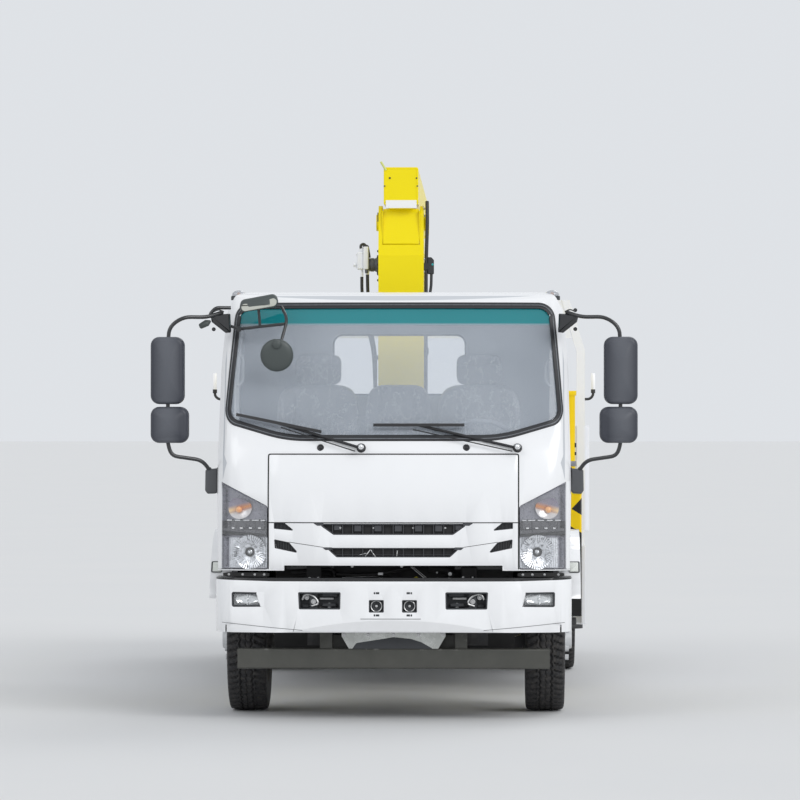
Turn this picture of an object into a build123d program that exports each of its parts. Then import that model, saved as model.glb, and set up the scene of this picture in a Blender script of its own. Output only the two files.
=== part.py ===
"""Truck-mounted crane: a wide-cab drop-side truck with a telescopic crane behind the cab.

Millimetres, +Z up. The truck faces -Y and its left side is +X. Everything is drawn by station,
the distance back from the bumper's face, and moved by half the length when it is written out.
"""
from build123d import *
import os
from math import atan, cos, degrees, hypot, radians, sin, sqrt, tan

# Whole vehicle
LENGTH = 7950
WHEELBASE = 4475
FRONT_OVERHANG = 1110
AXLE_HEIGHT = 428
REAR_AXLE = FRONT_OVERHANG + WHEELBASE

# Clearances
SEAT_GAP = 0.3
SLIDE_GAP = 0.6
MOVING_GAP = 6.0

# Wheels
TYRE_RADIUS = AXLE_HEIGHT
TYRE_WIDTH = 235
BEAD_RADIUS = 208
RIM_WIDTH = 168
RIM_FLANGE = 222
STUD_CIRCLE = 222.25
STUD_COUNT = 6
FRONT_TYRE_X = 882.5
TWIN_X = 892.5
TWIN_SPACING = 280
KINGPIN_X = 800
HUB_RADIUS = 70

# Ladder frame
RAIL_X = 425
RAIL_FLANGE = 70
RAIL_WEB = 8
RAIL_TOP = 820
RAIL_DEPTH = 200
RAIL_FRONT = 160
RAIL_REAR = LENGTH - 110
RAIL_BOTTOM = RAIL_TOP - RAIL_DEPTH
SPRING_X = RAIL_X - RAIL_FLANGE / 2

# Cab
CAB_HALF = 1026
CAB_REAR = 1780
CAB_FLOOR = 866
CAB_TOP = 2500
CAB_WALL = 48
CAB_CORNER = 150
CAB_BOW = 6000
TILT_PIN = (110, 600)
TILT_PIN_RADIUS = 22
ARCH_RADIUS = 600
ARCH_LINER = 14
FLARE_X = 1087
GLASS = 6
PANEL = 26


def rounded(*corners):
    """Flat outline through corners given as (across, up, radius), each rounded by its radius."""
    ring = list(corners)
    area = sum(p[0] * q[1] - q[0] * p[1] for p, q in zip(ring, ring[1:] + ring[:1]))
    if area < 0:
        ring.reverse()
    face = Polygon(*[(a, b) for a, b, _ in ring], align=None)
    for a, b, radius in corners:
        if radius:
            spot = face.vertices().sort_by_distance((a, b, 0))[0]
            face = fillet(spot, radius)
    return face


def sharp(*points):
    """Flat outline with sharp corners."""
    return rounded(*[(a, b, 0) for a, b in points])


def mirrored(corners):
    """Both halves of an outline whose right half is given from the bottom up."""
    return list(corners) + [(-a, b, radius) for a, b, radius in reversed(corners)]


def front_prism(outline, s0, s1):
    """Outline across and up, carried back from station s0 to s1."""
    return extrude(Plane((0, s1, 0), x_dir=(1, 0, 0), z_dir=(0, -1, 0)) * outline, s1 - s0)


def side_prism(outline, x0, x1):
    """Outline by station and height, carried across from x0 to x1."""
    return extrude(Plane((x0, 0, 0), x_dir=(0, 1, 0), z_dir=(1, 0, 0)) * outline, x1 - x0)


def plan_prism(outline, z0, z1):
    """Outline seen from above, carried up from z0 to z1."""
    return extrude(Plane((0, 0, z0)) * outline, z1 - z0)


def block(x, s, z):
    """Box between the pairs of limits across, along and up."""
    return Pos(x[0], s[0], z[0]) * Box(x[1] - x[0], s[1] - s[0], z[1] - z[0], align=(Align.MIN,) * 3)


def bar_x(x, s, z, radius):
    """Round bar across the truck between the limits x."""
    return Pos(sum(x) / 2, s, z) * Rot(0, 90, 0) * Cylinder(radius, x[1] - x[0])


def bar_s(x, s, z, radius):
    """Round bar along the truck between the limits s."""
    return Pos(x, sum(s) / 2, z) * Rot(90, 0, 0) * Cylinder(radius, s[1] - s[0])


def bar_z(x, s, z, radius):
    """Upright round bar between the limits z."""
    return Pos(x, s, sum(z) / 2) * Cylinder(radius, z[1] - z[0])


def pipe(points, bends, radius):
    """Round pipe through the points, with the given bend radii at the corners between."""
    path = FilletPolyline(*points, radius=bends) if len(points) > 2 else Line(*points)
    start = Plane(path @ 0, z_dir=path % 0)
    return sweep(start * Circle(radius), path=path)


def both(shape):
    """The shape and its mirror image on the other side of the truck."""
    return shape + mirror(shape, about=Plane.YZ)


def other_side(shape):
    """The mirror image on the truck's right side."""
    return mirror(shape, about=Plane.YZ)


def save(name, shape):
    """Write one node, moved so that the truck's middle is over the origin."""
    moved = Pos(0, -LENGTH / 2, 0) * shape
    solids = moved.solids()
    export_step(solids[0] if len(solids) == 1 else Compound(children=list(solids)), f"parts/{name}.step")


os.makedirs("parts", exist_ok=True)


# Ladder frame: two channel rails, cross members, a front tilt-pin tube and a rear tow jaw
CROSS_MEMBER = 90
CROSS_STATIONS = (210, 1850, 2900, 4300, REAR_AXLE, 6800, RAIL_REAR - 50)
TOW_EAR = 18
TOW_GAP = 60
TOW_PIN_RADIUS = 20
TOW_REACH = 95
TOW_WIDTH = 110
TOW_Z = RAIL_TOP - RAIL_DEPTH / 2


def channel_rail():
    outline = rounded((RAIL_X - RAIL_FLANGE, RAIL_BOTTOM, 0), (RAIL_X, RAIL_BOTTOM, 10),
                      (RAIL_X, RAIL_TOP, 10), (RAIL_X - RAIL_FLANGE, RAIL_TOP, 0))
    hollow = rounded((RAIL_X - RAIL_FLANGE - 1, RAIL_BOTTOM + RAIL_WEB, 0),
                     (RAIL_X - RAIL_WEB, RAIL_BOTTOM + RAIL_WEB, 4),
                     (RAIL_X - RAIL_WEB, RAIL_TOP - RAIL_WEB, 4),
                     (RAIL_X - RAIL_FLANGE - 1, RAIL_TOP - RAIL_WEB, 0))
    return front_prism(outline - hollow, RAIL_FRONT, RAIL_REAR)


def cross_member(station):
    reach = RAIL_X - RAIL_WEB
    half = CROSS_MEMBER / 2
    beam = block((-reach, reach), (station - half, station + half),
                 (RAIL_BOTTOM + RAIL_WEB, RAIL_TOP - RAIL_WEB))
    return beam - block((-reach, reach), (station - half + RAIL_WEB, station + half + 1),
                        (RAIL_BOTTOM + 3 * RAIL_WEB, RAIL_TOP - 3 * RAIL_WEB))


def tow_jaw():
    plate = block((-TOW_WIDTH, TOW_WIDTH), (RAIL_REAR - 5, RAIL_REAR + 10), (RAIL_BOTTOM, RAIL_TOP))
    ear = plan_prism(rounded((-TOW_WIDTH / 2, RAIL_REAR, 0), (TOW_WIDTH / 2, RAIL_REAR, 0),
                             (TOW_WIDTH / 2, RAIL_REAR + TOW_REACH, 40),
                             (-TOW_WIDTH / 2, RAIL_REAR + TOW_REACH, 40)), 0, TOW_EAR)
    jaw = plate + Pos(0, 0, TOW_Z + TOW_GAP / 2) * ear + Pos(0, 0, TOW_Z - TOW_GAP / 2 - TOW_EAR) * ear
    return jaw - bar_z(0, RAIL_REAR + TOW_REACH / 2 + 8, (RAIL_BOTTOM, RAIL_TOP), TOW_PIN_RADIUS)


def tilt_lug():
    outline = rounded((TILT_PIN[0] - 38, TILT_PIN[1] - 38, 30), (TILT_PIN[0] + 135, TILT_PIN[1] - 38, 10),
                      (RAIL_FRONT + 120, RAIL_BOTTOM, 0), (RAIL_FRONT + 120, RAIL_BOTTOM + 60, 0),
                      (TILT_PIN[0] - 38, RAIL_BOTTOM + 40, 30))
    return side_prism(outline, RAIL_X - RAIL_FLANGE, RAIL_X)


frame = both(channel_rail())
for station in CROSS_STATIONS:
    frame += cross_member(station)
frame += both(tilt_lug())
frame += bar_x((-RAIL_X - 60, RAIL_X + 60), *TILT_PIN, TILT_PIN_RADIUS)
frame += tow_jaw()
save("ladder_frame", frame)


# Leaf springs: stepped packs under the rails, with eyes, hangers and U-bolts
LEAF = 13
LEAF_WIDTH = 66
# Springs: axle station, half length, height of the pack's underside over the axle, half lengths of leaves
SPRINGS = (
    (FRONT_OVERHANG, 620, 385, (280, 430, 560, 620)),
    (REAR_AXLE, 650, 490, (220, 330, 440, 540, 650)),
)


def leaf_spring(station, half, seat, leaves):
    rise = RAIL_BOTTOM - 34 - seat - LEAF * len(leaves)
    bend = (half ** 2 + rise ** 2) / (2 * rise)
    outline = None
    for index, reach in enumerate(leaves):
        low = seat + LEAF * index
        radius = bend - LEAF * index
        height = radius - sqrt(radius ** 2 - reach ** 2)
        leaf = make_face(
            ThreePointArc((station - reach, low + height), (station, low), (station + reach, low + height))
            + Line((station + reach, low + height), (station + reach, low + height + LEAF))
            + ThreePointArc((station + reach, low + height + LEAF), (station, low + LEAF),
                            (station - reach, low + height + LEAF))
            + Line((station - reach, low + height + LEAF), (station - reach, low + height)))
        outline = leaf if outline is None else outline + leaf
    pack = side_prism(outline, SPRING_X - LEAF_WIDTH / 2, SPRING_X + LEAF_WIDTH / 2)
    for end in (station - half, station + half):
        eye_z = seat + rise + LEAF * len(leaves)
        pack += bar_x((SPRING_X - LEAF_WIDTH / 2, SPRING_X + LEAF_WIDTH / 2), end, eye_z, 26)
        pack += side_prism(rounded((end - 20, eye_z, 0), (end + 20, eye_z, 0),
                                   (end + 60, RAIL_BOTTOM - SEAT_GAP, 0), (end - 60, RAIL_BOTTOM - SEAT_GAP,
                                                                           0)),
                           SPRING_X - LEAF_WIDTH / 2, SPRING_X + LEAF_WIDTH / 2)
    top = seat + LEAF * len(leaves)
    pack += block((SPRING_X - 44, SPRING_X + 44), (station - 70, station + 70), (top, top + 18))
    return pack


springs = [leaf_spring(*row) for row in SPRINGS]
save("leaf_springs", both(springs[0] + springs[1]))


# Front axle: drop-centre beam with a kingpin eye at each end
BEAM_WIDTH = 90
BEAM_DEPTH = 82
AXLE_DROP = 108
KINGPIN_RADIUS = 18
KINGPIN_EYE = 40
EYE_HEIGHT = 110
YOKE_EAR = 26
beam_low = SPRINGS[0][2] - BEAM_DEPTH
half_beam = mirrored([(300, beam_low, 60), (560, beam_low, 60), (KINGPIN_X, AXLE_HEIGHT - 45, 0),
                      (KINGPIN_X, AXLE_HEIGHT + 40, 0), (520, beam_low + BEAM_DEPTH, 60)])
axle = front_prism(rounded(*half_beam), FRONT_OVERHANG - BEAM_WIDTH / 2, FRONT_OVERHANG + BEAM_WIDTH / 2)
for side in (1, -1):
    eye_z = (AXLE_HEIGHT - EYE_HEIGHT / 2, AXLE_HEIGHT + EYE_HEIGHT / 2)
    near = block((side * KINGPIN_X - KINGPIN_EYE - 12, side * KINGPIN_X + KINGPIN_EYE + 12),
                 (FRONT_OVERHANG - 60, FRONT_OVERHANG + 60), (eye_z[0] - 60, eye_z[1] + 60))
    axle -= near
    axle += bar_z(side * KINGPIN_X, FRONT_OVERHANG, eye_z, KINGPIN_EYE)
    axle += block((side * KINGPIN_X - (60 if side > 0 else 0), side * KINGPIN_X + (60 if side < 0 else 0)),
                  (FRONT_OVERHANG - 30, FRONT_OVERHANG + 30), (eye_z[0] + 15, eye_z[1] - 15))
    axle -= bar_z(side * KINGPIN_X, FRONT_OVERHANG, (eye_z[0] - 1, eye_z[1] + 1), KINGPIN_RADIUS + 0.1)
arm_path = plan_prism(sharp((KINGPIN_X - 51, FRONT_OVERHANG - 24), (KINGPIN_X - 160, FRONT_OVERHANG + 24),
                            (KINGPIN_X - 184, FRONT_OVERHANG + 32), (KINGPIN_X - 184, FRONT_OVERHANG + 46),
                            (KINGPIN_X - 51, FRONT_OVERHANG + 46)), AXLE_HEIGHT - 228, AXLE_HEIGHT - 66)
save("front_axle", axle - both(arm_path))


# Knuckles: a yoke and kingpin, the wheel spindle and a steering arm to the rear
SPINDLE_RADIUS = 38
ARM_REACH = 150
ARM_X = 708
ARM_Z = AXLE_HEIGHT - 96
ARM_DEPTH = 24
SPINDLE_END = 975


def knuckle():
    top = AXLE_HEIGHT + EYE_HEIGHT / 2
    low = AXLE_HEIGHT - EYE_HEIGHT / 2
    ear = plan_prism(rounded((KINGPIN_X - 34, FRONT_OVERHANG - 34, 30),
                             (KINGPIN_X + 78, FRONT_OVERHANG - 34, 0),
                             (KINGPIN_X + 78, FRONT_OVERHANG + 34, 0), (KINGPIN_X - 34, FRONT_OVERHANG + 34,
                                                                        30)),
                     0, YOKE_EAR)
    shape = Pos(0, 0, top + SLIDE_GAP) * ear + Pos(0, 0, low - SLIDE_GAP - YOKE_EAR) * ear
    shape += bar_z(KINGPIN_X, FRONT_OVERHANG, (low - YOKE_EAR, top + YOKE_EAR), KINGPIN_RADIUS)
    shape += block((KINGPIN_X + 52, KINGPIN_X + 78), (FRONT_OVERHANG - 34, FRONT_OVERHANG + 34),
                   (low - YOKE_EAR, top + YOKE_EAR))
    shape += bar_x((KINGPIN_X + 60, SPINDLE_END), FRONT_OVERHANG, AXLE_HEIGHT, SPINDLE_RADIUS)
    arm = plan_prism(rounded((KINGPIN_X - 30, FRONT_OVERHANG - 20, 0),
                             (KINGPIN_X + 50, FRONT_OVERHANG - 20, 0),
                             (KINGPIN_X + 30, FRONT_OVERHANG + 40, 0), (ARM_X + 26, FRONT_OVERHANG
                                                                        + ARM_REACH, 18),
                             (ARM_X + 20, FRONT_OVERHANG + ARM_REACH + 26, 18),
                             (ARM_X - 26, FRONT_OVERHANG + ARM_REACH + 20, 18),
                             (ARM_X - 20, FRONT_OVERHANG + ARM_REACH - 26, 0)), ARM_Z, ARM_Z + ARM_DEPTH)
    return shape + arm


save("knuckle_left", knuckle())
save("knuckle_right", other_side(knuckle()))

# Tie rod: a tube whose end eyes lie on the steering arms
TIE_EYE = 19
TIE_Z = ARM_Z - SEAT_GAP - 40
tie = bar_x((-ARM_X, ARM_X), FRONT_OVERHANG + ARM_REACH, TIE_Z + 20, 15)
for side in (1, -1):
    tie += bar_z(side * ARM_X, FRONT_OVERHANG + ARM_REACH, (TIE_Z, TIE_Z + 40), TIE_EYE)
save("tie_rod", tie)


# Rear axle: tube casing with a round differential housing and spring seats
CASING_RADIUS = 58
DIFF_RADIUS = 185
REAR_SPINDLE_END = 900
casing = bar_x((-640, 640), REAR_AXLE, AXLE_HEIGHT, CASING_RADIUS)
casing += bar_x((-REAR_SPINDLE_END, REAR_SPINDLE_END), REAR_AXLE, AXLE_HEIGHT, SPINDLE_RADIUS)
casing += Pos(40, REAR_AXLE, AXLE_HEIGHT) * Rot(0, 90, 0) * Rot(90, 0, 0) * Cylinder(DIFF_RADIUS, 130)
casing += Pos(40, REAR_AXLE - 65, AXLE_HEIGHT) * Rot(90, 0, 0) * Cone(120, 62, 190,
                                                                      align=(Align.CENTER, Align.CENTER,
                                                                             Align.MIN))
casing += Pos(40, REAR_AXLE + 65, AXLE_HEIGHT) * Rot(-90, 0, 0) * Cone(150, 90, 45,
                                                                       align=(Align.CENTER, Align.CENTER,
                                                                              Align.MIN))
casing += both(block((SPRING_X - 44, SPRING_X + 44), (REAR_AXLE - 60, REAR_AXLE + 60),
                     (AXLE_HEIGHT, SPRINGS[1][2] - SEAT_GAP)))
save("rear_axle", casing)


# Wheels: disc wheels that turn on the spindles, and their tyres
def wheel_section(face):
    """Half section of a disc wheel, outwards and by radius; face is the mounting face's offset."""
    wall = 7
    well = BEAD_RADIUS - 24
    half = RIM_WIDTH / 2
    barrel = sharp((half - 62, well), (half - 30, BEAD_RADIUS), (half, BEAD_RADIUS), (half, RIM_FLANGE),
                   (half - wall, RIM_FLANGE), (half - wall, BEAD_RADIUS - wall), (half - 33, BEAD_RADIUS
                                                                                  - wall),
                   (half - 62, well - wall), (-half + 50, well - wall), (-half + 28, BEAD_RADIUS - wall),
                   (-half + wall, BEAD_RADIUS - wall), (-half + wall, RIM_FLANGE), (-half, RIM_FLANGE),
                   (-half, BEAD_RADIUS), (-half + 30, BEAD_RADIUS), (-half + 52, well))
    disc = sharp((half - 84, well - wall / 2), (half - 66, well - wall / 2), (face - 8, 152), (face, 138),
                 (face, HUB_RADIUS), (face - 10, HUB_RADIUS), (face - 10, 134), (face - 18, 146))
    return barrel + disc


def turned(section):
    """Solid turned about the axle from a section drawn outwards and by radius."""
    return revolve(section, Axis.X)


def nuts(face):
    """Wheel nuts on the stud circle, standing out from the mounting face."""
    nut = Pos(face - 2, 0, STUD_CIRCLE / 2) * Rot(0, 90, 0) * extrude(RegularPolygon(17, 6), 26)
    ring = nut
    for index in range(1, STUD_COUNT):
        ring += Rot(360 / STUD_COUNT * index, 0, 0) * nut
    return ring


HAND_HOLES = 8
FRONT_FACE = 120
TWIN_FACE = TWIN_SPACING / 2


def hand_holes(face):
    """Round holes through the disc's cone."""
    cut = Pos(face - 34, 0, 164) * Rot(0, 60, 0) * Cylinder(17, 90)
    holes = Rot(180 / HAND_HOLES, 0, 0) * cut
    for index in range(1, HAND_HOLES):
        holes += Rot(360 / HAND_HOLES * (index + 0.5), 0, 0) * cut
    return holes


def rim():
    face = FRONT_FACE
    bore = SPINDLE_RADIUS + SLIDE_GAP
    flange = HUB_RADIUS + 4
    hub = sharp((face - 80, bore), (face + 4, bore), (face + 4, flange), (face - 16, flange),
                (face - 80, HUB_RADIUS))
    cap = Cone(HUB_RADIUS, HUB_RADIUS - 14, 38, align=(Align.CENTER, Align.CENTER, Align.MIN))
    cap = Pos(face + 4, 0, 0) * Rot(0, 90, 0) * cap
    return turned(wheel_section(face) + hub) + cap - hand_holes(face) + nuts(face)


def tyre():
    half = TYRE_WIDTH / 2
    bead = RIM_WIDTH / 2 - 9
    low = BEAD_RADIUS + SEAT_GAP
    section = rounded((-bead, low, 0), (bead, low, 0), (half, low + 75, 50),
                      (half - 6, TYRE_RADIUS - 26, 16),
                      (half - 22, TYRE_RADIUS, 16), (-half + 22, TYRE_RADIUS, 16),
                      (-half + 6, TYRE_RADIUS - 26, 16), (-half, low + 75, 50))
    return turned(section)


one_rim = rim()
one_tyre = tyre()
front_place = Pos(FRONT_TYRE_X, FRONT_OVERHANG, AXLE_HEIGHT)
save("tyre_front_left", front_place * one_tyre)
save("rim_front_left", front_place * one_rim)
save("tyre_front_right", other_side(front_place * one_tyre))
save("rim_front_right", other_side(front_place * one_rim))

# Twin wheels: the outer wheel is turned round, so the two discs meet on the hub
def twin_rims():
    """Both wheels of a twin, their discs face to face on the hub, and the brake drum inboard."""
    shift = TWIN_SPACING / 2
    inner = Pos(-shift, 0) * wheel_section(TWIN_FACE)
    outer = mirror(inner, about=Plane.YZ)
    bore = SPINDLE_RADIUS + SLIDE_GAP
    hub = sharp((-140, bore), (14, bore), (14, 0), (70, 0), (70, HUB_RADIUS - 20), (56, HUB_RADIUS),
                (10, HUB_RADIUS + 6), (-10, HUB_RADIUS + 6), (-140, HUB_RADIUS + 6))
    drum = sharp((-235, 100), (-235, 150), (-150, 150), (-110, HUB_RADIUS), (-140, HUB_RADIUS - 10),
                 (-160, 100))
    shape = turned(inner + outer + hub + drum)
    shape -= Pos(-shift, 0, 0) * hand_holes(TWIN_FACE)
    shape -= Pos(shift, 0, 0) * Rot(0, 0, 180) * hand_holes(TWIN_FACE)
    return shape + nuts(10)


twin_shift = TWIN_SPACING / 2
twin_tyres = Pos(TWIN_X - twin_shift, REAR_AXLE, AXLE_HEIGHT) * one_tyre
twin_tyres += Pos(TWIN_X + twin_shift, REAR_AXLE, AXLE_HEIGHT) * one_tyre
twins = Pos(TWIN_X, REAR_AXLE, AXLE_HEIGHT) * twin_rims()
save("tyres_rear_left", twin_tyres)
save("rims_rear_left", twins)
save("tyres_rear_right", other_side(twin_tyres))
save("rims_rear_right", other_side(twins))


# Engine with its gearbox as one block, and the propeller shaft
ENGINE_X = 285
engine = side_prism(rounded((640, 500, 20), (1250, 500, 20), (1290, 520, 20), (1640, 520, 20),
                            (1700, 560, 20),
                            (1700, 700, 20), (1620, 860, 20), (1400, 880, 20), (1340, 1120, 30),
                            (640, 1120, 30)), -ENGINE_X, ENGINE_X)
engine -= both(block((190, ENGINE_X + 1), (1290, 1701), (400, 1200)))
shaft_front = (1700, 570)
shaft_rear = (REAR_AXLE - 255, AXLE_HEIGHT)
shaft_run = hypot(shaft_rear[0] - shaft_front[0], shaft_rear[1] - shaft_front[1])
shaft_dip = degrees(atan((shaft_front[1] - shaft_rear[1]) / (shaft_rear[0] - shaft_front[0])))
shaft = Pos(40, *shaft_front) * Rot(-shaft_dip, 0, 0) * Rot(-90, 0, 0) * Cylinder(
    44, shaft_run - 30, align=(Align.CENTER, Align.CENTER, Align.MIN))
mount = block((ENGINE_X - 10, RAIL_X - RAIL_WEB - SEAT_GAP), (960, 1050),
              (RAIL_BOTTOM + 40, RAIL_BOTTOM + 110))
save("powertrain", engine + shaft + both(mount))

# Radiator: core between two tanks on two feet that stand on the front cross member
RADIATOR_X = 330
RADIATOR_S = (400, 470)
radiator = block((-RADIATOR_X, RADIATOR_X), RADIATOR_S, (660, 1010))
radiator += block((-RADIATOR_X - 14, RADIATOR_X + 14), (RADIATOR_S[0] - 10, RADIATOR_S[1] + 14),
                  (1010, 1070))
radiator += block((-RADIATOR_X - 14, RADIATOR_X + 14), (RADIATOR_S[0] - 10, RADIATOR_S[1] + 14), (610, 660))
for fin in range(14):
    slot_z = 676 + fin * 24
    radiator -= block((-RADIATOR_X + 20, RADIATOR_X - 20), (RADIATOR_S[0] - 1, RADIATOR_S[0] + 12),
                      (slot_z, slot_z + 12))
RADIATOR_SEAT = RAIL_X - RAIL_WEB - SEAT_GAP
radiator += block((-RADIATOR_SEAT, RADIATOR_SEAT), (RADIATOR_S[0], RADIATOR_S[1]), (640, 654))
save("radiator", radiator)


# Cab form: upright, inclined and raked front faces, each bowed, within the front and side outlines
# Front faces: station and height of a point on the face, and its rake in degrees
FRONT_FACES = ((62, 1100, 0), (62, 1330, 10), (122, 1609, 22.2))


def cab_plan(inset):
    """Bowed front, rounded corners and straight sides, seen square to a front face."""
    side = CAB_HALF - inset
    bow = CAB_BOW - inset
    depth = bow - sqrt(bow ** 2 - side ** 2)
    corner = CAB_CORNER - inset
    edge = (ThreePointArc((-side, depth + inset), (0, inset), (side, depth + inset))
            + Line((side, depth + inset), (side, 4000)) + Line((side, 4000), (-side, 4000))
            + Line((-side, 4000), (-side, depth + inset)))
    face = make_face(edge)
    front = face.vertices().sort_by(Axis.Y)[:2]
    return fillet(front, corner)


CAB_FRONT_VIEW = mirrored([(1010, 500, 0), (CAB_HALF, 1300, 2500), (1012, 2060, 2500), (985, 2370, 160),
                           (935, 2468, 50), (820, 2494, 300), (400, CAB_TOP, 3000)])
CAB_SIDE_VIEW = [(-700, 400, 0), (CAB_REAR, 400, 0), (CAB_REAR, 2440, 30), (1730, 2486, 60),
                 (1100, CAB_TOP, 3000),
                 (620, 2486, 300), (466, 2424, 60), (200, 2424, 0), (-700, 2424, 0)]


def cab_form(inset):
    """The cab's outer form, or the same form set in by the inset all round."""
    form = front_prism(offset(rounded(*CAB_FRONT_VIEW), -inset) if inset else rounded(*CAB_FRONT_VIEW),
                       -500, 2500)
    side = offset(rounded(*CAB_SIDE_VIEW), -inset) if inset else rounded(*CAB_SIDE_VIEW)
    form &= side_prism(side, -1200, 1200)
    plan = cab_plan(inset)
    for station, height, rake in FRONT_FACES:
        lean = radians(rake)
        face = Plane((0, station, height), x_dir=(1, 0, 0), z_dir=(0, sin(lean), cos(lean)))
        form &= extrude(face * plan, 2600, both=True)
    return form


OUTER = cab_form(0)
INNER = cab_form(CAB_WALL)


def skin(start, end):
    """The layer of the cab's wall between two depths from its outer face."""
    near = OUTER if start == 0 else cab_form(start)
    return near - cab_form(end)


# Windscreen, rear window and side windows, as outlines seen from the front or the side
WINDSCREEN = mirrored([(680, 1628, 900), (965, 1735, 90), (905, 2396, 90)])
REAR_WINDOW = mirrored([(410, 1890, 60), (410, 2265, 60)])
DOOR_GAP = 5
DOOR_FRONT = 470
DOOR_REAR = 1520
WINDOW_OUTLINE = [(590, 1560, 60), (1440, 1530, 60), (1440, 2290, 60), (800, 2290, 90)]
WHEEL_X = 690


def arch_disc(radius, x0, x1):
    return bar_x((x0, x1), FRONT_OVERHANG, AXLE_HEIGHT, radius)


def door_prism(shrink):
    """The door's space, seen from the side, less the wheel arch below it."""
    outline = rounded((DOOR_FRONT + shrink, CAB_FLOOR + 30, 20), (DOOR_REAR - shrink, CAB_FLOOR + 30, 20),
                      (DOOR_REAR - shrink, 2372 - shrink, 80), (745 + shrink, 2372 - shrink, 80),
                      (DOOR_FRONT + 8 + shrink, 1730, 200))
    space = side_prism(outline, 900, 1200)
    return space - arch_disc(ARCH_RADIUS + 62 + shrink, 800, 1300)


# Cab shell: walls, wheel arches and flares, engine tunnel, and pockets for the panels and lamps
TUNNEL_X = 376
TUNNEL_TOP = 1180
ENGINE_ROOM_X = 352
HATCH_X = 720
HATCH_TOP = 1534
GRILLE_LOW = 896
LAMP_INNER = 724
LAMP_OUTER = 1000

HEADLAMP = [(LAMP_INNER, 872, 12), (LAMP_OUTER + 60, 872, 0), (LAMP_OUTER + 60, 1396, 0), (990, 1374, 30),
            (LAMP_INNER, 1236, 24)]
FRONT_PANEL = mirrored([(628, GRILLE_LOW, 10), (640, 872, 8), (706, 872, 8), (HATCH_X - 3, 905, 20),
                        (HATCH_X - 3, HATCH_TOP, 12)])


def lamp_pocket(grow):
    outline = offset(rounded(*HEADLAMP), grow) if grow else rounded(*HEADLAMP)
    return front_prism(outline, -50, 330)


def cab_shell():
    cavity = INNER & block((-1200, 1200), (-200, 2000), (CAB_FLOOR + CAB_WALL, 2600))
    cavity -= both(arch_disc(ARCH_RADIUS + ARCH_LINER, WHEEL_X - ARCH_LINER, 1300))
    cavity -= block((-TUNNEL_X, TUNNEL_X), (-200, 2000), (500, TUNNEL_TOP))
    shell = OUTER & block((-1200, 1200), (-200, 2000), (CAB_FLOOR, 2600))
    shell -= cavity
    shell -= block((-ENGINE_ROOM_X, ENGINE_ROOM_X), (200, 2000), (500, TUNNEL_TOP - 24))
    shell -= block((-628, 628), (-200, 330), (500, GRILLE_LOW))
    shell -= both(arch_disc(ARCH_RADIUS, WHEEL_X, 1300))
    flare = arch_disc(ARCH_RADIUS + 54, 960, FLARE_X) - arch_disc(ARCH_RADIUS, 900, 1300)
    flare &= block((900, 1300), (FRONT_OVERHANG - 900, FRONT_OVERHANG + 900), (690, 1400))
    liner = arch_disc(ARCH_RADIUS + ARCH_LINER, WHEEL_X, 1000) - arch_disc(ARCH_RADIUS, WHEEL_X - 1, 1001)
    liner &= block((WHEEL_X, 1300), (FRONT_OVERHANG - 900, FRONT_OVERHANG + 900), (690, 1400))
    shell += both(flare + liner)
    return shell


def cab_openings(shell):
    shell -= front_prism(rounded(*WINDSCREEN), -200, 700)
    shell -= front_prism(rounded(*REAR_WINDOW), 1500, 2000)
    shell -= both(door_prism(0))
    panel_pocket = front_prism(offset(rounded(*FRONT_PANEL), SEAT_GAP), -50, 330) - cab_form(PANEL
                                                                                             + SEAT_GAP)
    lamps = both(lamp_pocket(SEAT_GAP)) - cab_form(40 + SEAT_GAP)
    shell -= panel_pocket
    shell -= lamps
    return shell


TILT_ARM_X = (RAIL_X + 12 + MOVING_GAP, RAIL_X + 40 + MOVING_GAP)


def tilt_arm():
    """Arm from the tilt pin up and back to the cab floor, with a running bore on the pin."""
    s, z = TILT_PIN
    outline = rounded((s + 8, z - 34, 20), (s + 150, z + 90, 30), (s + 260, z + 230, 0),
                      (s + 260, CAB_FLOOR + 20, 0),
                      (s + 175, CAB_FLOOR + 20, 0), (s + 60, z + 110, 30), (s - 34, z + 10, 30))
    arm = side_prism(outline, *TILT_ARM_X) + bar_x(TILT_ARM_X, s, z, 38)
    return arm - bar_x((TILT_ARM_X[0] - 1, TILT_ARM_X[1] + 1), s, z, TILT_PIN_RADIUS + 0.1)


shell = cab_openings(cab_shell()) + both(tilt_arm())
save("cab_shell", shell)

# Doors: the same wall, cut out of the same form, each with its window cut and a handle recess
window_prism = side_prism(rounded(*WINDOW_OUTLINE), 900, 1200)
wall = OUTER - INNER


def door():
    panel = wall & door_prism(DOOR_GAP)
    return panel - window_prism


# The notch in the inner lower corner passes the arch's lip as the door opens
door_left = door() - block((955, 992), (622, 690), (884, 944))
save("door_left", door_left)
save("door_right", other_side(door_left))
door_glass = (skin(14, 14 + GLASS) & side_prism(offset(rounded(*WINDOW_OUTLINE), -SEAT_GAP), 900, 1200))
save("door_glass_left", door_glass)
save("door_glass_right", other_side(door_glass))

glass_skin = skin(10, 10 + GLASS)
cab_glass = glass_skin & front_prism(offset(rounded(*WINDSCREEN), -SEAT_GAP), -200, 700)
cab_glass += glass_skin & front_prism(offset(rounded(*REAR_WINDOW), -SEAT_GAP), 1500, 2000)
save("cab_glass", cab_glass)


# Front panel: hatch and grille in one face, with two long slots and four side slits
UPPER_SLOT = mirrored([(344, 1072, 12), (436, 1137, 10)])
LOWER_SLOT = mirrored([(326, 943, 12), (387, 998, 10)])
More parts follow.
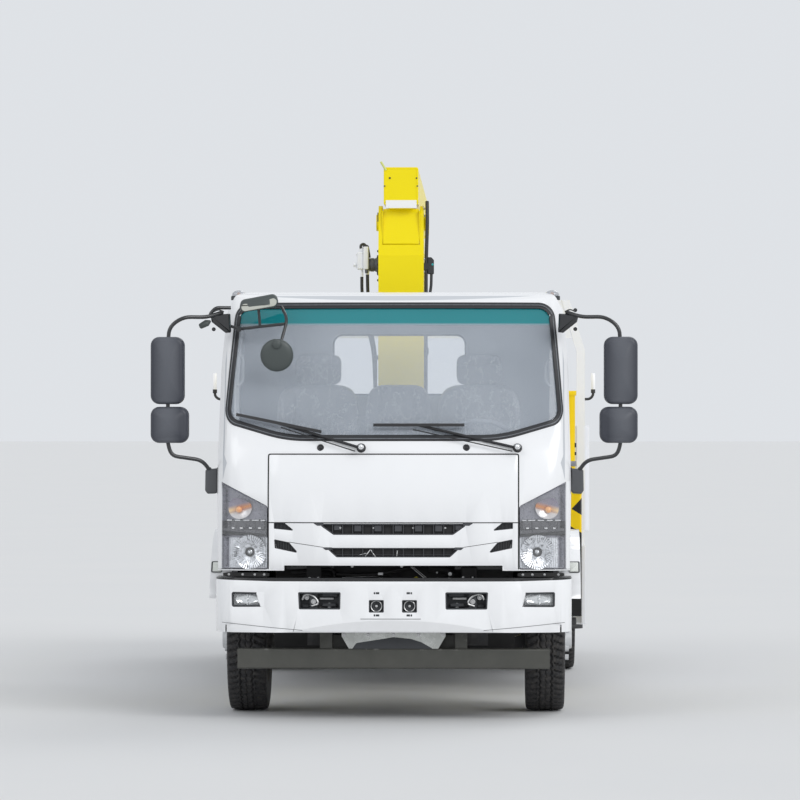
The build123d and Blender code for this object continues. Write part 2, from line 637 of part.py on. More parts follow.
# Side slits: four corners across and up
UPPER_SLIT = [(569, 1095, 4), (688, 1107, 4), (688, 1141, 4), (626, 1141, 8)]
LOWER_SLIT = [(545, 966, 6), (683, 995, 4), (686, 1046, 4), (600, 1029, 8)]
SLOTS = (UPPER_SLOT, LOWER_SLOT, UPPER_SLIT, LOWER_SLIT)
panel_skin = OUTER - cab_form(PANEL)
panel = panel_skin & front_prism(rounded(*FRONT_PANEL), -50, 330)
grille_skin = skin(10, PANEL)
grille = None
for corners in SLOTS:
    hole = front_prism(rounded(*corners), -50, 330)
    fill = front_prism(offset(rounded(*corners), -SEAT_GAP), -50, 330)
    if corners in (UPPER_SLIT, LOWER_SLIT):
        hole = both(hole)
        fill = both(fill)
    panel -= hole
    insert = grille_skin & fill
    grille = insert if grille is None else grille + insert
save("front_panel", panel)

# Grille inserts: dark, with horizontal ribs standing in the slots
RIB_PITCH = 22
for row in range(3):
    rib_z = 1082 + row * RIB_PITCH
    grille -= block((-900, 900), (-50, 60), (rib_z, rib_z + 11)) & front_prism(offset(rounded(*UPPER_SLOT),
                                                                                      -12), -50, 330)
for column in range(15):
    cell_x = -300 + column * 40
    grille -= block((cell_x, cell_x + 26), (-50, 62),
                    (955, 988)) & front_prism(offset(rounded(*LOWER_SLOT), -10), -50, 330)
save("grille", grille)

# Cab lamps: headlamps that wrap the corners, roof lamps and the repeaters on the arch flares
lamp_skin = skin(2, 40)
lamp = lamp_skin & lamp_pocket(0)
for centre_x, centre_z, radius in ((868, 978, 82), (820, 1178, 62)):
    lamp -= bar_s(centre_x, (-50, 128), centre_z, radius) & (OUTER - cab_form(30))
roof_lamp = bar_z(905, 640, (2400, 2520), 46) & cab_form(-14)
roof_lamp -= cab_form(-SEAT_GAP)
repeater = block((FLARE_X + SEAT_GAP, FLARE_X + 14), (FRONT_OVERHANG - 462, FRONT_OVERHANG - 418),
                 (837, 896))
save("cab_lamps", both(lamp + roof_lamp + repeater))

# Wipers: pivot, blade end and other blade end, each across and up
WIPERS = (((-185, 1571), (-908, 1763), (-416, 1663)), ((714, 1571), (-116, 1702), (407, 1702)))


def on_screen(x, z, stand_off):
    """Station of a point ahead of the front faces by the stand-off."""
    bow = CAB_BOW - sqrt(CAB_BOW ** 2 - x ** 2)
    best = -1000
    for station, height, rake in FRONT_FACES:
        lean = radians(rake)
        local = bow - stand_off
        best = max(best, station + local / cos(lean) + (z - height) * tan(lean))
    return best


def rod(a, b, radius):
    """Round rod between two points."""
    return sweep(Plane(a, z_dir=Vector(*b) - Vector(*a)) * Circle(radius), path=Line(a, b))


wipers = None
for pivot, first, second in WIPERS:
    ends = [(x, on_screen(x, z, 16), z) for x, z in (first, second)]
    hub = (pivot[0], on_screen(*pivot, 20), pivot[1])
    mid = tuple((a + b) / 2 for a, b in zip(*ends))
    one = rod(ends[0], ends[1], 7) + rod(hub, mid, 8)
    one += Pos(*hub) * Rot(90 - FRONT_FACES[1][2], 0, 0) * Cylinder(16, 2 * 24)
    wipers = one if wipers is None else wipers + one
save("wipers", wipers - cab_form(-SEAT_GAP))


# Dashboard with the instrument hood and the steering wheel on the driver's side
DASH_X = CAB_HALF - CAB_WALL - 45
DRIVER_X = 490
dash = side_prism(rounded((CAB_WALL + 180, 1240, 30), (560, 1200, 40), (640, 1420, 60), (560, 1520, 50),
                          (CAB_WALL + 180, 1560, 20)), -DASH_X, DASH_X)
dash &= cab_form(CAB_WALL + SEAT_GAP)
dash += side_prism(rounded((330, 1500, 10), (600, 1450, 20), (590, 1600, 30), (380, 1610, 30)), DRIVER_X
                   - 220, DRIVER_X + 220)
WHEEL_CENTRE = (DRIVER_X, 690, 1610)
WHEEL_LEAN = 35
wheel_place = Pos(*WHEEL_CENTRE) * Rot(-WHEEL_LEAN, 0, 0)
steering = wheel_place * Torus(205, 14)
steering += wheel_place * Pos(0, 0, -30) * Cylinder(40, 60)
for angle in (0, 120, 240):
    steering += wheel_place * Rot(0, 0, angle + 90) * Pos(105, 0, -10) * Box(200, 26, 14)
column_foot = (DRIVER_X, 500, 1360)
steering += rod((DRIVER_X, WHEEL_CENTRE[1] - 10, WHEEL_CENTRE[2] - 20), column_foot, 24)
save("dashboard", dash + steering)

# Seats: cushion, back and headrest on a base for the driver and the mate, narrow middle seat
SEATS = ((DRIVER_X, 500, 1), (-DRIVER_X, 500, 1), (0, 400, 0))
SEAT_FRONT = 860
SEAT_TOP = 1420


def seat(x, width, headrest):
    half = width / 2
    base_low = (TUNNEL_TOP if not headrest else CAB_FLOOR + CAB_WALL) + SEAT_GAP
    base = block((x - half + 60, x + half - 60), (SEAT_FRONT + 60, 1400), (base_low, 1300))
    if headrest:
        base -= block((-TUNNEL_X - SEAT_GAP, TUNNEL_X + SEAT_GAP), (0, 2000), (0, TUNNEL_TOP + SEAT_GAP))
        base -= both(arch_disc(ARCH_RADIUS + ARCH_LINER + SEAT_GAP, 600, 1300))
    cushion = side_prism(rounded((SEAT_FRONT, 1300, 30), (1420, 1290, 20), (1420, SEAT_TOP - 20, 20),
                                 (SEAT_FRONT, SEAT_TOP, 50)),
                         x - half, x + half)
    back = side_prism(rounded((1370, 1320, 20), (1490, 1320, 20), (1620, 1940, 40), (1530, 1940, 40)), x
                      - half, x + half)
    one = base + cushion + back
    if headrest:
        one += side_prism(rounded((1545, 1950, 30), (1625, 1950, 30), (1650, 2140, 30), (1580, 2140, 30)),
                          x - 140, x + 140)
        for post in (-70, 70):
            one += rod((x + post, 1580, 1900), (x + post, 1597, 1990), 7)
    return one


seats = None
for row in SEATS:
    seats = seat(*row) if seats is None else seats + seat(*row)
save("seats", seats)


# Mirrors: tube arms from brackets on the cab's front pillars, and the heads on each arm
ARM_TUBE = 11
MIRROR_S = 260
HEAD_X = 1310


def mirror_arm():
    upper = pipe([(1000, 400, 2325), (1130, 330, 2325), (1235, MIRROR_S, 2325), (HEAD_X, MIRROR_S, 2290),
                  (HEAD_X, MIRROR_S, 1560), (1220, MIRROR_S + 10, 1528), (1130, 330, 1500), (1015, 400,
                                                                                             1460)],
                 [60, 70, 70, 60, 60, 60], ARM_TUBE)
    brackets = block((960, 1070), (370, 430), (2240, 2388)) + block((1000, 1092), (370, 430), (1330, 1462))
    return (upper + brackets) - cab_form(-SEAT_GAP)


def mirror_heads():
    big = front_prism(rounded((1215, 1825, 50), (1410, 1825, 50), (1410, 2215, 50), (1215, 2215, 50)),
                      MIRROR_S - 45, MIRROR_S + 45)
    small = front_prism(rounded((1190, 1600, 50), (1410, 1600, 50), (1410, 1810, 50), (1190, 1810, 50)),
                        MIRROR_S - 45, MIRROR_S + 45)
    heads = big + small
    return heads - bar_z(HEAD_X, MIRROR_S, (1500, 2300), ARM_TUBE + SEAT_GAP)


# Kerb mirror at the right front corner: two crossing arms, a round disc and an oblong head
KERB_S = 330
kerb_arm = pipe([(-656, KERB_S, 2387), (-617, KERB_S - 60, 2320), (-653, KERB_S - 130, 2180)], [60], 9)
kerb_arm += rod((-905, KERB_S + 60, 2264), (-632, KERB_S - 72, 2290), 9)
kerb_arm += rod((-905, KERB_S + 60, 2264), (-1010, 395, 2300), 9)
kerb_arm += rod((-790, KERB_S - 10, 2400), (-780, KERB_S - 3, 2277), 9)
arms = both(mirror_arm()) + (kerb_arm - cab_form(-SEAT_GAP))
save("mirror_arms", arms)
kerb_disc = Pos(-675, KERB_S - 150, 2108) * Rot(90, 0, 0) * Cylinder(92, 22)
kerb_head = front_prism(rounded((-903, 2355, 30), (-675, 2385, 30), (-675, 2470, 30), (-903, 2430, 30)),
                        KERB_S - 40, KERB_S + 20)
heads = both(mirror_heads()) + (kerb_disc - kerb_arm) + (kerb_head - kerb_arm)
save("mirror_heads", heads)


# Front bumper: bowed shell with lamp pockets, two ports, a lower crease and side steps
BUMPER_TOP = 826
BUMPER_LOW = 512
BUMPER_CREASE = 584
BUMPER_REAR = 446
BUMPER_WALL = 22
BUMPER_HALF = 1027
FOG = [(742, 660, 12), (928, 658, 12), (930, 745, 12), (740, 742, 12)]
VENT = [(302, 646, 8), (540, 646, 8), (545, 745, 8), (300, 745, 8)]
PORT = [(52, 629, 6), (138, 629, 6), (138, 701, 6), (52, 701, 6)]


def bumper_form(inset):
    half = BUMPER_HALF - inset
    bow = CAB_BOW - inset
    depth = bow - sqrt(bow ** 2 - half ** 2)
    edge = (ThreePointArc((-half, depth + inset), (0, inset), (half, depth + inset))
            + Line((half, depth + inset), (half, BUMPER_REAR)) + Line((half, BUMPER_REAR),
                                                                      (-half, BUMPER_REAR))
            + Line((-half, BUMPER_REAR), (-half, depth + inset)))
    plan = fillet(make_face(edge).vertices().sort_by(Axis.Y)[:2], CAB_CORNER - inset)
    side = rounded((inset, BUMPER_CREASE, 0), (inset + 30, BUMPER_LOW + inset, 12),
                   (900, BUMPER_LOW + inset + 20, 0),
                   (900, BUMPER_TOP - inset, 0), (inset + 24, BUMPER_TOP - inset, 0), (inset, BUMPER_TOP
                                                                                       - 34, 0))
    return plan_prism(plan, BUMPER_LOW, BUMPER_TOP + 10) & side_prism(side, -1200, 1200)


bumper = bumper_form(0)
bumper -= bumper_form(BUMPER_WALL) & block((-1200, 1200), (0, 900), (0, 2000))
bumper -= block((-BUMPER_HALF + 60, BUMPER_HALF - 60), (90, 900), (BUMPER_LOW - 1, BUMPER_LOW + 44))
bumper -= block((-BUMPER_HALF + 120, BUMPER_HALF - 120), (78, 900),
                (BUMPER_TOP - BUMPER_WALL - 40, BUMPER_TOP + 20))
for corners in (FOG, VENT, PORT):
    bumper -= both(front_prism(rounded(*corners), -20, 150))
step = block((RAIL_X + 150, BUMPER_HALF - 2), (330, BUMPER_REAR), (BUMPER_LOW + 20, BUMPER_LOW + 44))
step += block((BUMPER_HALF - 60, BUMPER_HALF - 2), (BUMPER_REAR - 24, BUMPER_REAR), (BUMPER_LOW + 20, 700))
hanger = block((RAIL_X + SEAT_GAP, RAIL_X + 12), (RAIL_FRONT + 40, RAIL_FRONT + 110),
               (BUMPER_LOW + 60, 760))
hanger_arm = block((RAIL_X + SEAT_GAP, BUMPER_HALF - 2), (RAIL_FRONT + 170, RAIL_FRONT + 210),
                   (BUMPER_LOW + 30, BUMPER_LOW + 70))
hanger += block((RAIL_X + SEAT_GAP, RAIL_X + 12), (RAIL_FRONT + 100, RAIL_FRONT + 210),
                (BUMPER_LOW + 30, 700))
bumper += both(step + hanger + hanger_arm)
# The tilting cab's arms come down through this notch in the upper edge
bumper -= both(block((TILT_ARM_X[0] - MOVING_GAP, TILT_ARM_X[1] + MOVING_GAP), (40, 90),
                     (796, BUMPER_TOP + 4)))
save("bumper", bumper)


# Under-run beams: the front one below the bumper on two stays, the rear one behind the twin wheels
BEAM_LOW = 299
BEAM_TOP = 415
REAR_BEAM_Z = (420, 540)
front_beam = side_prism(rounded((150, BEAM_LOW, 10), (240, BEAM_LOW, 10), (240, BEAM_TOP, 10),
                                (150, BEAM_TOP, 10)), -900, 900)
front_beam += both(block((RAIL_X - RAIL_FLANGE, RAIL_X), (170, 236),
                         (BEAM_TOP - 5, TILT_PIN[1] - 38 - SEAT_GAP)))
front_beam += block((-RAIL_X + RAIL_FLANGE - 20, RAIL_X - RAIL_FLANGE + 20), (236, 244),
                    (BEAM_TOP - 12, 490))
rear_s = (LENGTH - 205, LENGTH - 110)
rear_beam = side_prism(rounded((rear_s[0], REAR_BEAM_Z[0], 10), (rear_s[1], REAR_BEAM_Z[0], 10),
                               (rear_s[1], REAR_BEAM_Z[1], 10), (rear_s[0], REAR_BEAM_Z[1],
                                                                 10)), -1080, 1080)
rear_beam += both(block((RAIL_X + SEAT_GAP, RAIL_X + 12), (rear_s[0], rear_s[1] - 20),
                        (REAR_BEAM_Z[1] - 5, RAIL_TOP - 40)))
save("underrun_beams", front_beam + rear_beam)


# Chassis lamps: fog lamps in the bumper, rear lamp clusters, and end-outline lamps on rubber arms
HEADBOARD_S = 3020
POST_X = (1115, 1167)
fog = front_prism(offset(rounded(*FOG), -SEAT_GAP), 20, 60) & bumper_form(14)
rear_lamp = block((760, 1080), (rear_s[0] + 5, rear_s[1] - 5),
                  (REAR_BEAM_Z[1] + SEAT_GAP, REAR_BEAM_Z[1] + 130))
outline_lamp = Pos(1219, HEADBOARD_S + 26, 1982) * extrude(RectangleRounded(24, 30, 8), 58, both=True)
for arm_z, lamp_z in ((1880, 1930), (2100, 2034)):
    outline_lamp += pipe([(POST_X[1] + SEAT_GAP, HEADBOARD_S + 26, arm_z), (1219, HEADBOARD_S + 26, arm_z),
                          (1219, HEADBOARD_S + 26, lamp_z)], [24], 8)
save("chassis_lamps", both(fog + rear_lamp + outline_lamp))


# Units on the frame's sides: fuel tank, battery box and exhaust silencer, each on straps to the rail
TANK_S = (3150, 4100)
tank = front_prism(rounded((500, 470, 70), (1000, 470, 90), (1000, 850, 90), (500, 850, 70)), *TANK_S)
for strap in (TANK_S[0] + 160, TANK_S[1] - 160):
    tank += front_prism(rounded((494, 464, 74), (1006, 464, 94), (1006, 856, 94), (494, 856, 74)), strap,
                        strap + 50)
    tank += block((RAIL_X + SEAT_GAP, 500), (strap, strap + 50), (640, 780))
save("fuel_tank", other_side(tank))

BATTERY_S = (3150, 3560)
battery = block((500, 940), BATTERY_S, (540, 860)) + block((492, 948), (BATTERY_S[0] - 8, BATTERY_S[1] + 8),
                                                           (800, 868))
battery += block((RAIL_X + SEAT_GAP, 500), (BATTERY_S[0] + 40, BATTERY_S[1] - 40),
                 (RAIL_BOTTOM + 20, RAIL_BOTTOM + 90))
save("battery_box", battery)

SILENCER_S = (3720, 4520)
silencer = bar_s(700, SILENCER_S, 660, 150)
silencer += block((RAIL_X + SEAT_GAP, 600), (SILENCER_S[0] + 120, SILENCER_S[0] + 170), (700, 790))
silencer += block((RAIL_X + SEAT_GAP, 600), (SILENCER_S[1] - 170, SILENCER_S[1] - 120), (700, 790))
silencer += pipe([(700, SILENCER_S[1] - 5, 640), (700, SILENCER_S[1] + 160, 640),
                  (700, SILENCER_S[1] + 260, 500)], [70], 38)
save("exhaust", silencer)


# Cargo bed: deck on cross bearers and two long bearers, side sills and rear corner posts
BOARD_THICK = 36
BED_S = (HEADBOARD_S + 66, LENGTH - BOARD_THICK - SEAT_GAP)
DECK_TOP = 1040
SILL_LOW = 940
BOARD_TOP = 1704
BOARD_OUT = 1197
SILL_X = BOARD_OUT - BOARD_THICK - SEAT_GAP
bed = block((-SILL_X, SILL_X), BED_S, (DECK_TOP - 34, DECK_TOP))
bed += both(block((SILL_X - 60, SILL_X), BED_S, (SILL_LOW, DECK_TOP - 10)))
bed += both(block((RAIL_X - RAIL_FLANGE, RAIL_X), (HEADBOARD_S + 10, BED_S[1]),
                  (RAIL_TOP + SEAT_GAP, SILL_LOW)))
BEARERS = 11
BEARER_WIDTH = 60


def bearer_at(index):
    """Front face of a cross bearer."""
    return BED_S[0] + 20 + index * (BED_S[1] - BED_S[0] - 40 - BEARER_WIDTH) / (BEARERS - 1)


for index in range(BEARERS):
    at = bearer_at(index)
    bed += block((-SILL_X + 10, SILL_X - 10), (at, at + BEARER_WIDTH), (SILL_LOW, DECK_TOP - 20))
POST = 60
bed += both(block((SILL_X - POST - 4, SILL_X - 4), (BED_S[1] - POST, BED_S[1]), (DECK_TOP - 20, BOARD_TOP)))
save("bed_floor", bed)

# Headboard: two posts with chamfered tops, a lower wall, and a top panel, open between
BEAM_Z = (2270, 2515)
HEADBOARD_BARS = (-560, 0, 560)
post_shape = [(POST_X[0], SILL_LOW, 0), (POST_X[1], SILL_LOW, 0), (POST_X[1], 2193, 8),
              (1070, BEAM_Z[1], 8),
              (1018, BEAM_Z[1], 0), (POST_X[0], 2180, 0)]
board = both(front_prism(rounded(*post_shape), HEADBOARD_S, HEADBOARD_S + 60))
board += front_prism(rounded(*mirrored([(1080, BEAM_Z[0], 0), (1030, BEAM_Z[1], 0)])), HEADBOARD_S + 4,
                     HEADBOARD_S + 56)
board += block((-POST_X[0] - 5, POST_X[0] + 5), (HEADBOARD_S + 10, HEADBOARD_S + 50), (SILL_LOW, BOARD_TOP))
for post in HEADBOARD_BARS:
    board += block((post - 25, post + 25), (HEADBOARD_S + 10, HEADBOARD_S + 50),
                   (BOARD_TOP - 10, BEAM_Z[0] + 10))
board += both(block((RAIL_X - RAIL_FLANGE, RAIL_X), (HEADBOARD_S - 60, HEADBOARD_S + 9),
                    (RAIL_TOP + SEAT_GAP, SILL_LOW + 60)))
save("headboard", board)

# Dropsides and tailgate: framed panels with upright ribs outside, hinged at their lower edge
BOARD_LOW = DECK_TOP - 12
SIDE_S = (BED_S[0] + 8, BED_S[1] - 8)


def ribbed_board(length, count):
    """Panel of a given length with a rim and upright ribs, drawn along X with its outer face at +Y."""
    height = BOARD_TOP - BOARD_LOW
    panel = Box(length, BOARD_THICK - 14, height, align=(Align.MIN, Align.MIN, Align.MIN))
    pitch = length / count
    for index in range(count + 1):
        at = min(max(index * pitch - 30, 0), length - 60)
        panel += Pos(at, 0, 0) * Box(60, BOARD_THICK, height, align=(Align.MIN,) * 3)
    for low in (0, height - 50):
        panel += Pos(0, 0, low) * Box(length, BOARD_THICK, 50, align=(Align.MIN,) * 3)
    return panel


side_place = Pos(BOARD_OUT - BOARD_THICK, SIDE_S[1], BOARD_LOW) * Rot(0, 0, -90)
side_board = side_place * ribbed_board(SIDE_S[1] - SIDE_S[0], 9)
save("dropside_left", side_board)
save("dropside_right", other_side(side_board))
tail_board = Pos(-SILL_X + 2, LENGTH - BOARD_THICK, BOARD_LOW) * ribbed_board(2 * SILL_X - 4, 5)
save("tailgate", tail_board)


# Side guards between the wheels, and mudguards over the twin wheels
guard = None
for low in (440, 620, 800):
    rail = block((1139, 1166), (2760, 4980), (low, low + 110))
    guard = rail if guard is None else guard + rail
for at in (2900, 3650, 4850):
    guard += block((1100, 1140), (at, at + 50), (436, SILL_LOW - SEAT_GAP if at > HEADBOARD_S else 912))
guard += block((1100, 1166), (2900, 3200), (905, SILL_LOW - SEAT_GAP))
save("side_guards", both(guard))

MUD_RADIUS = TYRE_RADIUS + 44
ring = bar_x((TWIN_X - 270, TWIN_X + 262), REAR_AXLE, AXLE_HEIGHT, MUD_RADIUS + 6)
ring -= bar_x((0, 1300), REAR_AXLE, AXLE_HEIGHT, MUD_RADIUS)
cover = block((0, 1300), (REAR_AXLE - 500, REAR_AXLE + 500), (700, 1000))
cover += block((0, 1300), (REAR_AXLE + 200, REAR_AXLE + 500), (AXLE_HEIGHT + 50, 720))
ring &= cover
stay_s = bearer_at(5)
ring += block((TWIN_X - 20, TWIN_X + 20), (stay_s, stay_s + BEARER_WIDTH),
              (AXLE_HEIGHT + MUD_RADIUS - 14, SILL_LOW - SEAT_GAP))
ring += block((TWIN_X - 270, TWIN_X + 262), (REAR_AXLE + MUD_RADIUS - 2, REAR_AXLE + MUD_RADIUS + 4),
              (230, AXLE_HEIGHT + 72))
save("mudguards", both(ring))


# Crane base: outrigger box across the frame, pedestal and the lower slewing ring, with a control bank
SLEW_S = 2400
BOX_S = (2262, 2538)
BOX_Z = (RAIL_TOP + 40, RAIL_TOP + 240)
BOX_X = 900
BOX_WALL = 10
RING_Z = 1400
INNER_BEAM = 106
base = block((-BOX_X, BOX_X), BOX_S, BOX_Z)
lane_mid = (BOX_S[0] + BOX_S[1]) / 2
for low, high in ((BOX_S[0] + BOX_WALL, lane_mid - BOX_WALL / 2),
                  (lane_mid + BOX_WALL / 2, BOX_S[1] - BOX_WALL)):
    base -= block((-BOX_X - 1, BOX_X + 1), (low, high), (BOX_Z[0] + BOX_WALL, BOX_Z[1] - BOX_WALL))
base += both(block((RAIL_X - RAIL_FLANGE, RAIL_X), (BOX_S[0] - 60, BOX_S[1] + 60),
                   (RAIL_TOP + SEAT_GAP, BOX_Z[0] + 1)))
pedestal = front_prism(rounded(*mirrored([(330, BOX_Z[1] - 1, 0), (250, RING_Z - 40, 0)])), BOX_S[0] - 20,
                       BOX_S[1] + 20)
base += pedestal + bar_z(0, SLEW_S, (RING_Z - 45, RING_Z), 250)
for side in (1, -1):
    bank = block((620, 860), (BOX_S[0] + 30, BOX_S[1] - 60), (BOX_Z[1] - 1, BOX_Z[1] + 110))
    base += bank if side > 0 else other_side(bank)
save("crane_base", base)


# Outriggers: inner beam in its lane of the box, and the leg housing at its end with the jack inside
LEG_X = 1036
LEG_HALF = 94
LEG_Z = (512, 1283)
LEG_TUBE = 55
LEG_TOP = 1923
JACK_RADIUS = 34
LANES = ((BOX_S[0] + BOX_WALL, lane_mid - BOX_WALL / 2), (lane_mid + BOX_WALL / 2, BOX_S[1] - BOX_WALL))


def outrigger(lane):
    low, high = lane
    mid = (low + high) / 2
    beam = block((-BOX_X + 60, LEG_X), (low + SLIDE_GAP, high - SLIDE_GAP),
                 (BOX_Z[0] + BOX_WALL + SLIDE_GAP, BOX_Z[1] - BOX_WALL - SLIDE_GAP))
    beam -= block((-BOX_X + 59, BOX_X - 40), (low + 9, high - 9),
                  (BOX_Z[0] + BOX_WALL + 9, BOX_Z[1] - BOX_WALL - 9))
    housing = plan_prism(rounded((LEG_X - LEG_HALF, mid - 85, 12), (LEG_X + LEG_HALF, mid - 85, 12),
                                 (LEG_X + LEG_HALF, mid + 85, 12), (LEG_X - LEG_HALF, mid + 85,
                                                                    12)), *LEG_Z)
    tube = bar_z(LEG_X, mid, (LEG_Z[1] - 1, LEG_TOP), LEG_TUBE)
    cap = bar_z(LEG_X, mid, (LEG_TOP - 30, LEG_TOP), LEG_TUBE + 8)
    bore = bar_z(LEG_X, mid, (0, LEG_TOP - 60), JACK_RADIUS + 8)
    guide = bar_z(LEG_X, mid, (LEG_Z[0], LEG_Z[0] + 60), JACK_RADIUS + 20) - bar_z(LEG_X, mid, (0, 2000),
                                                                                   JACK_RADIUS + SLIDE_GAP)
    return beam + housing + tube + cap - bore + guide, mid


def jack(mid):
    rod_bar = bar_z(LEG_X, mid, (455, LEG_TOP - 120), JACK_RADIUS)
    flange = bar_z(LEG_X, mid, (455, 500), 62)
    foot = bar_z(LEG_X, mid, (434, 456), 102)
    return rod_bar + flange + foot


left_beam, left_mid = outrigger(LANES[0])
right_beam, right_mid = outrigger(LANES[1])
save("outrigger_left", left_beam)
save("outrigger_right", other_side(right_beam))
save("jack_left", jack(left_mid))
save("jack_right", other_side(jack(right_mid)))


# Crane column: tapered box on the slewing ring, with two ears that carry the boom
COLUMN_HALF = 142
COLUMN_PLATE = 24
BOOM_PIN = (SLEW_S - 50, 2980)
LIFT_PIN = (SLEW_S + 200, 2300)
COLUMN_INNER_TOP = 2770
turntable = bar_z(0, SLEW_S, (RING_Z + SLIDE_GAP, RING_Z + 46), 250)
body_side = [(SLEW_S - 210, RING_Z + 40, 0), (SLEW_S + 210, RING_Z + 40, 0), (SLEW_S + 180, 1900, 100),
             (SLEW_S + 130, 2200, 0), (SLEW_S + 110, COLUMN_INNER_TOP, 0), (SLEW_S - 215, COLUMN_INNER_TOP,
                                                                            0)]
column = side_prism(rounded(*body_side), -COLUMN_HALF, COLUMN_HALF)
ear = side_prism(rounded((SLEW_S - 215, COLUMN_INNER_TOP - 5, 0), (SLEW_S + 110, COLUMN_INNER_TOP - 5, 0),
                         (SLEW_S + 60, 3085, 70), (SLEW_S - 160, 3085,
                                                   70)), COLUMN_HALF - COLUMN_PLATE, COLUMN_HALF)
lift_ear = side_prism(rounded((SLEW_S + 60, 2150, 0), (LIFT_PIN[0] + 60, LIFT_PIN[1] - 60, 55),
                              (LIFT_PIN[0] + 60, LIFT_PIN[1] + 60, 55), (SLEW_S + 60, 2460, 0)), 66, 88)
column += turntable + both(ear) + both(lift_ear)
column -= block((-58, 58), (SLEW_S + 90, SLEW_S + 400), (2140, 2480))
FRONT_SLOPE = 55 / 320
COVER_RADIUS = 204


def front_plate(low, top, half):
    """Strip of the column's sloping front plate between two heights."""
    first = SLEW_S - 215 + (low - COLUMN_INNER_TOP + 5) * FRONT_SLOPE
    last = SLEW_S - 215 + (top - COLUMN_INNER_TOP + 5) * FRONT_SLOPE
    return side_prism(sharp((first, low), (first + COLUMN_PLATE, low), (last + COLUMN_PLATE, top),
                            (last, top)),
                      -half, half)


plate_end = bar_x((-COLUMN_HALF, COLUMN_HALF), *BOOM_PIN, COVER_RADIUS + MOVING_GAP)
column += front_plate(COLUMN_INNER_TOP - 5, 2920, COLUMN_HALF - COLUMN_PLATE + 1) - plate_end
column += bar_x((-88, 88), *LIFT_PIN, 25)
column += both(bar_x((COLUMN_HALF - 2, COLUMN_HALF + 16), *BOOM_PIN, 52))
column += bar_x((-COLUMN_HALF - 4, COLUMN_HALF + 4), *BOOM_PIN, 30)
save("crane_column", column)

# Winch: drum housing behind the column, motor and valve block standing out on the right side
winch = bar_x((-210, -COLUMN_HALF - SEAT_GAP), SLEW_S - 60, 2720, 44)
winch += bar_x((-COLUMN_HALF - 18, -COLUMN_HALF - SEAT_GAP), SLEW_S - 60, 2720, 66)
winch += block((-286, -208), (SLEW_S - 118, SLEW_S - 8), (2650, 2820))
winch += bar_x((-262, -228), SLEW_S - 62, 2640, 22)
save("winch", winch)

# Boom: three nested box sections; each slides on pads at the mouth of the one outside it
# Sections: half width, underside, top, front end and rear end by reach from the slew axis
BOOM_S = SLEW_S
SECTIONS = ((108, 3060, 3320, -220, 3780), (90, 3080, 3300, -60, 3890), (73, 3099, 3281, 60, 3990))
BOOM_PLATE = 8
PAD = 70


def section_outline(half, low, top, shrink):
    chamfer = 34
    return rounded(*mirrored([(half - chamfer, low + shrink, 0), (half - shrink, low + chamfer, 0),
                              (half - shrink, top - shrink, 12)]))


def boom_section(index):
    half, low, top, front, rear = SECTIONS[index]
    shape = front_prism(section_outline(half, low, top, 0), BOOM_S + front, BOOM_S + rear)
    bore = front_prism(section_outline(half, low, top, BOOM_PLATE), BOOM_S + front + 20, BOOM_S + rear + 1)
    shape -= bore
    if index < 2:
        inner = SECTIONS[index + 1]
        pad = front_prism(section_outline(half, low, top, 2), BOOM_S + rear - PAD, BOOM_S + rear)
        hole = offset(section_outline(inner[0], inner[1], inner[2], 0), SLIDE_GAP)
        shape += pad - front_prism(hole, BOOM_S + rear - PAD - 1, BOOM_S + rear + 1)
    return shape


base_section = boom_section(0)
foot = side_prism(rounded((BOOM_PIN[0] - 110, 3061, 0), (BOOM_PIN[0] - 90, BOOM_PIN[1] - 60, 50),
                          (BOOM_PIN[0] + 90, BOOM_PIN[1] - 60, 50), (BOOM_PIN[0] + 260, 3061,
                                                                     0)), -108, 108)
foot -= bar_x((-120, 120), *BOOM_PIN, 30 + 0.1)
lug_s = BOOM_PIN[0] + 1100
LUG_Z = 3000
lug = side_prism(rounded((lug_s - 130, 3061, 0), (lug_s - 50, LUG_Z - 45, 45), (lug_s + 50, LUG_Z - 45, 45),
                         (lug_s + 130, 3061, 0)), 62, 84)
lug -= bar_x((0, 120), lug_s, LUG_Z, 25)
cover_end = bar_x((-COLUMN_HALF, COLUMN_HALF), *BOOM_PIN, COVER_RADIUS)
cover = front_plate(2800, 3062, COLUMN_HALF - COLUMN_PLATE - MOVING_GAP) & cover_end
base_section += foot + cover + both(lug)
save("boom_base", base_section)
save("boom_middle", boom_section(1))

# Boom tip: innermost section with the head plates and the head sheave
tip = boom_section(2)
tip_end = BOOM_S + SECTIONS[2][4]
HOOK_PIN = (tip_end + 170, 3010)
head_plate = side_prism(rounded((tip_end - 40, 3110, 0), (tip_end + 20, 3110, 0), (tip_end + 130, 2970, 30),
                                (tip_end + 210, 2970, 40), (tip_end + 225, 3170, 40),
                                (tip_end + 120, 3270, 30), (tip_end - 40, 3270, 0)), 52, 66)
tip += both(head_plate)
tip += Pos(0, tip_end + 60, 3190) * Rot(0, 90, 0) * Cylinder(66, 40)
tip += bar_x((-66, 66), tip_end + 60, 3190, 16)
tip += bar_x((-66, 66), *HOOK_PIN, 16)
save("boom_tip", tip)

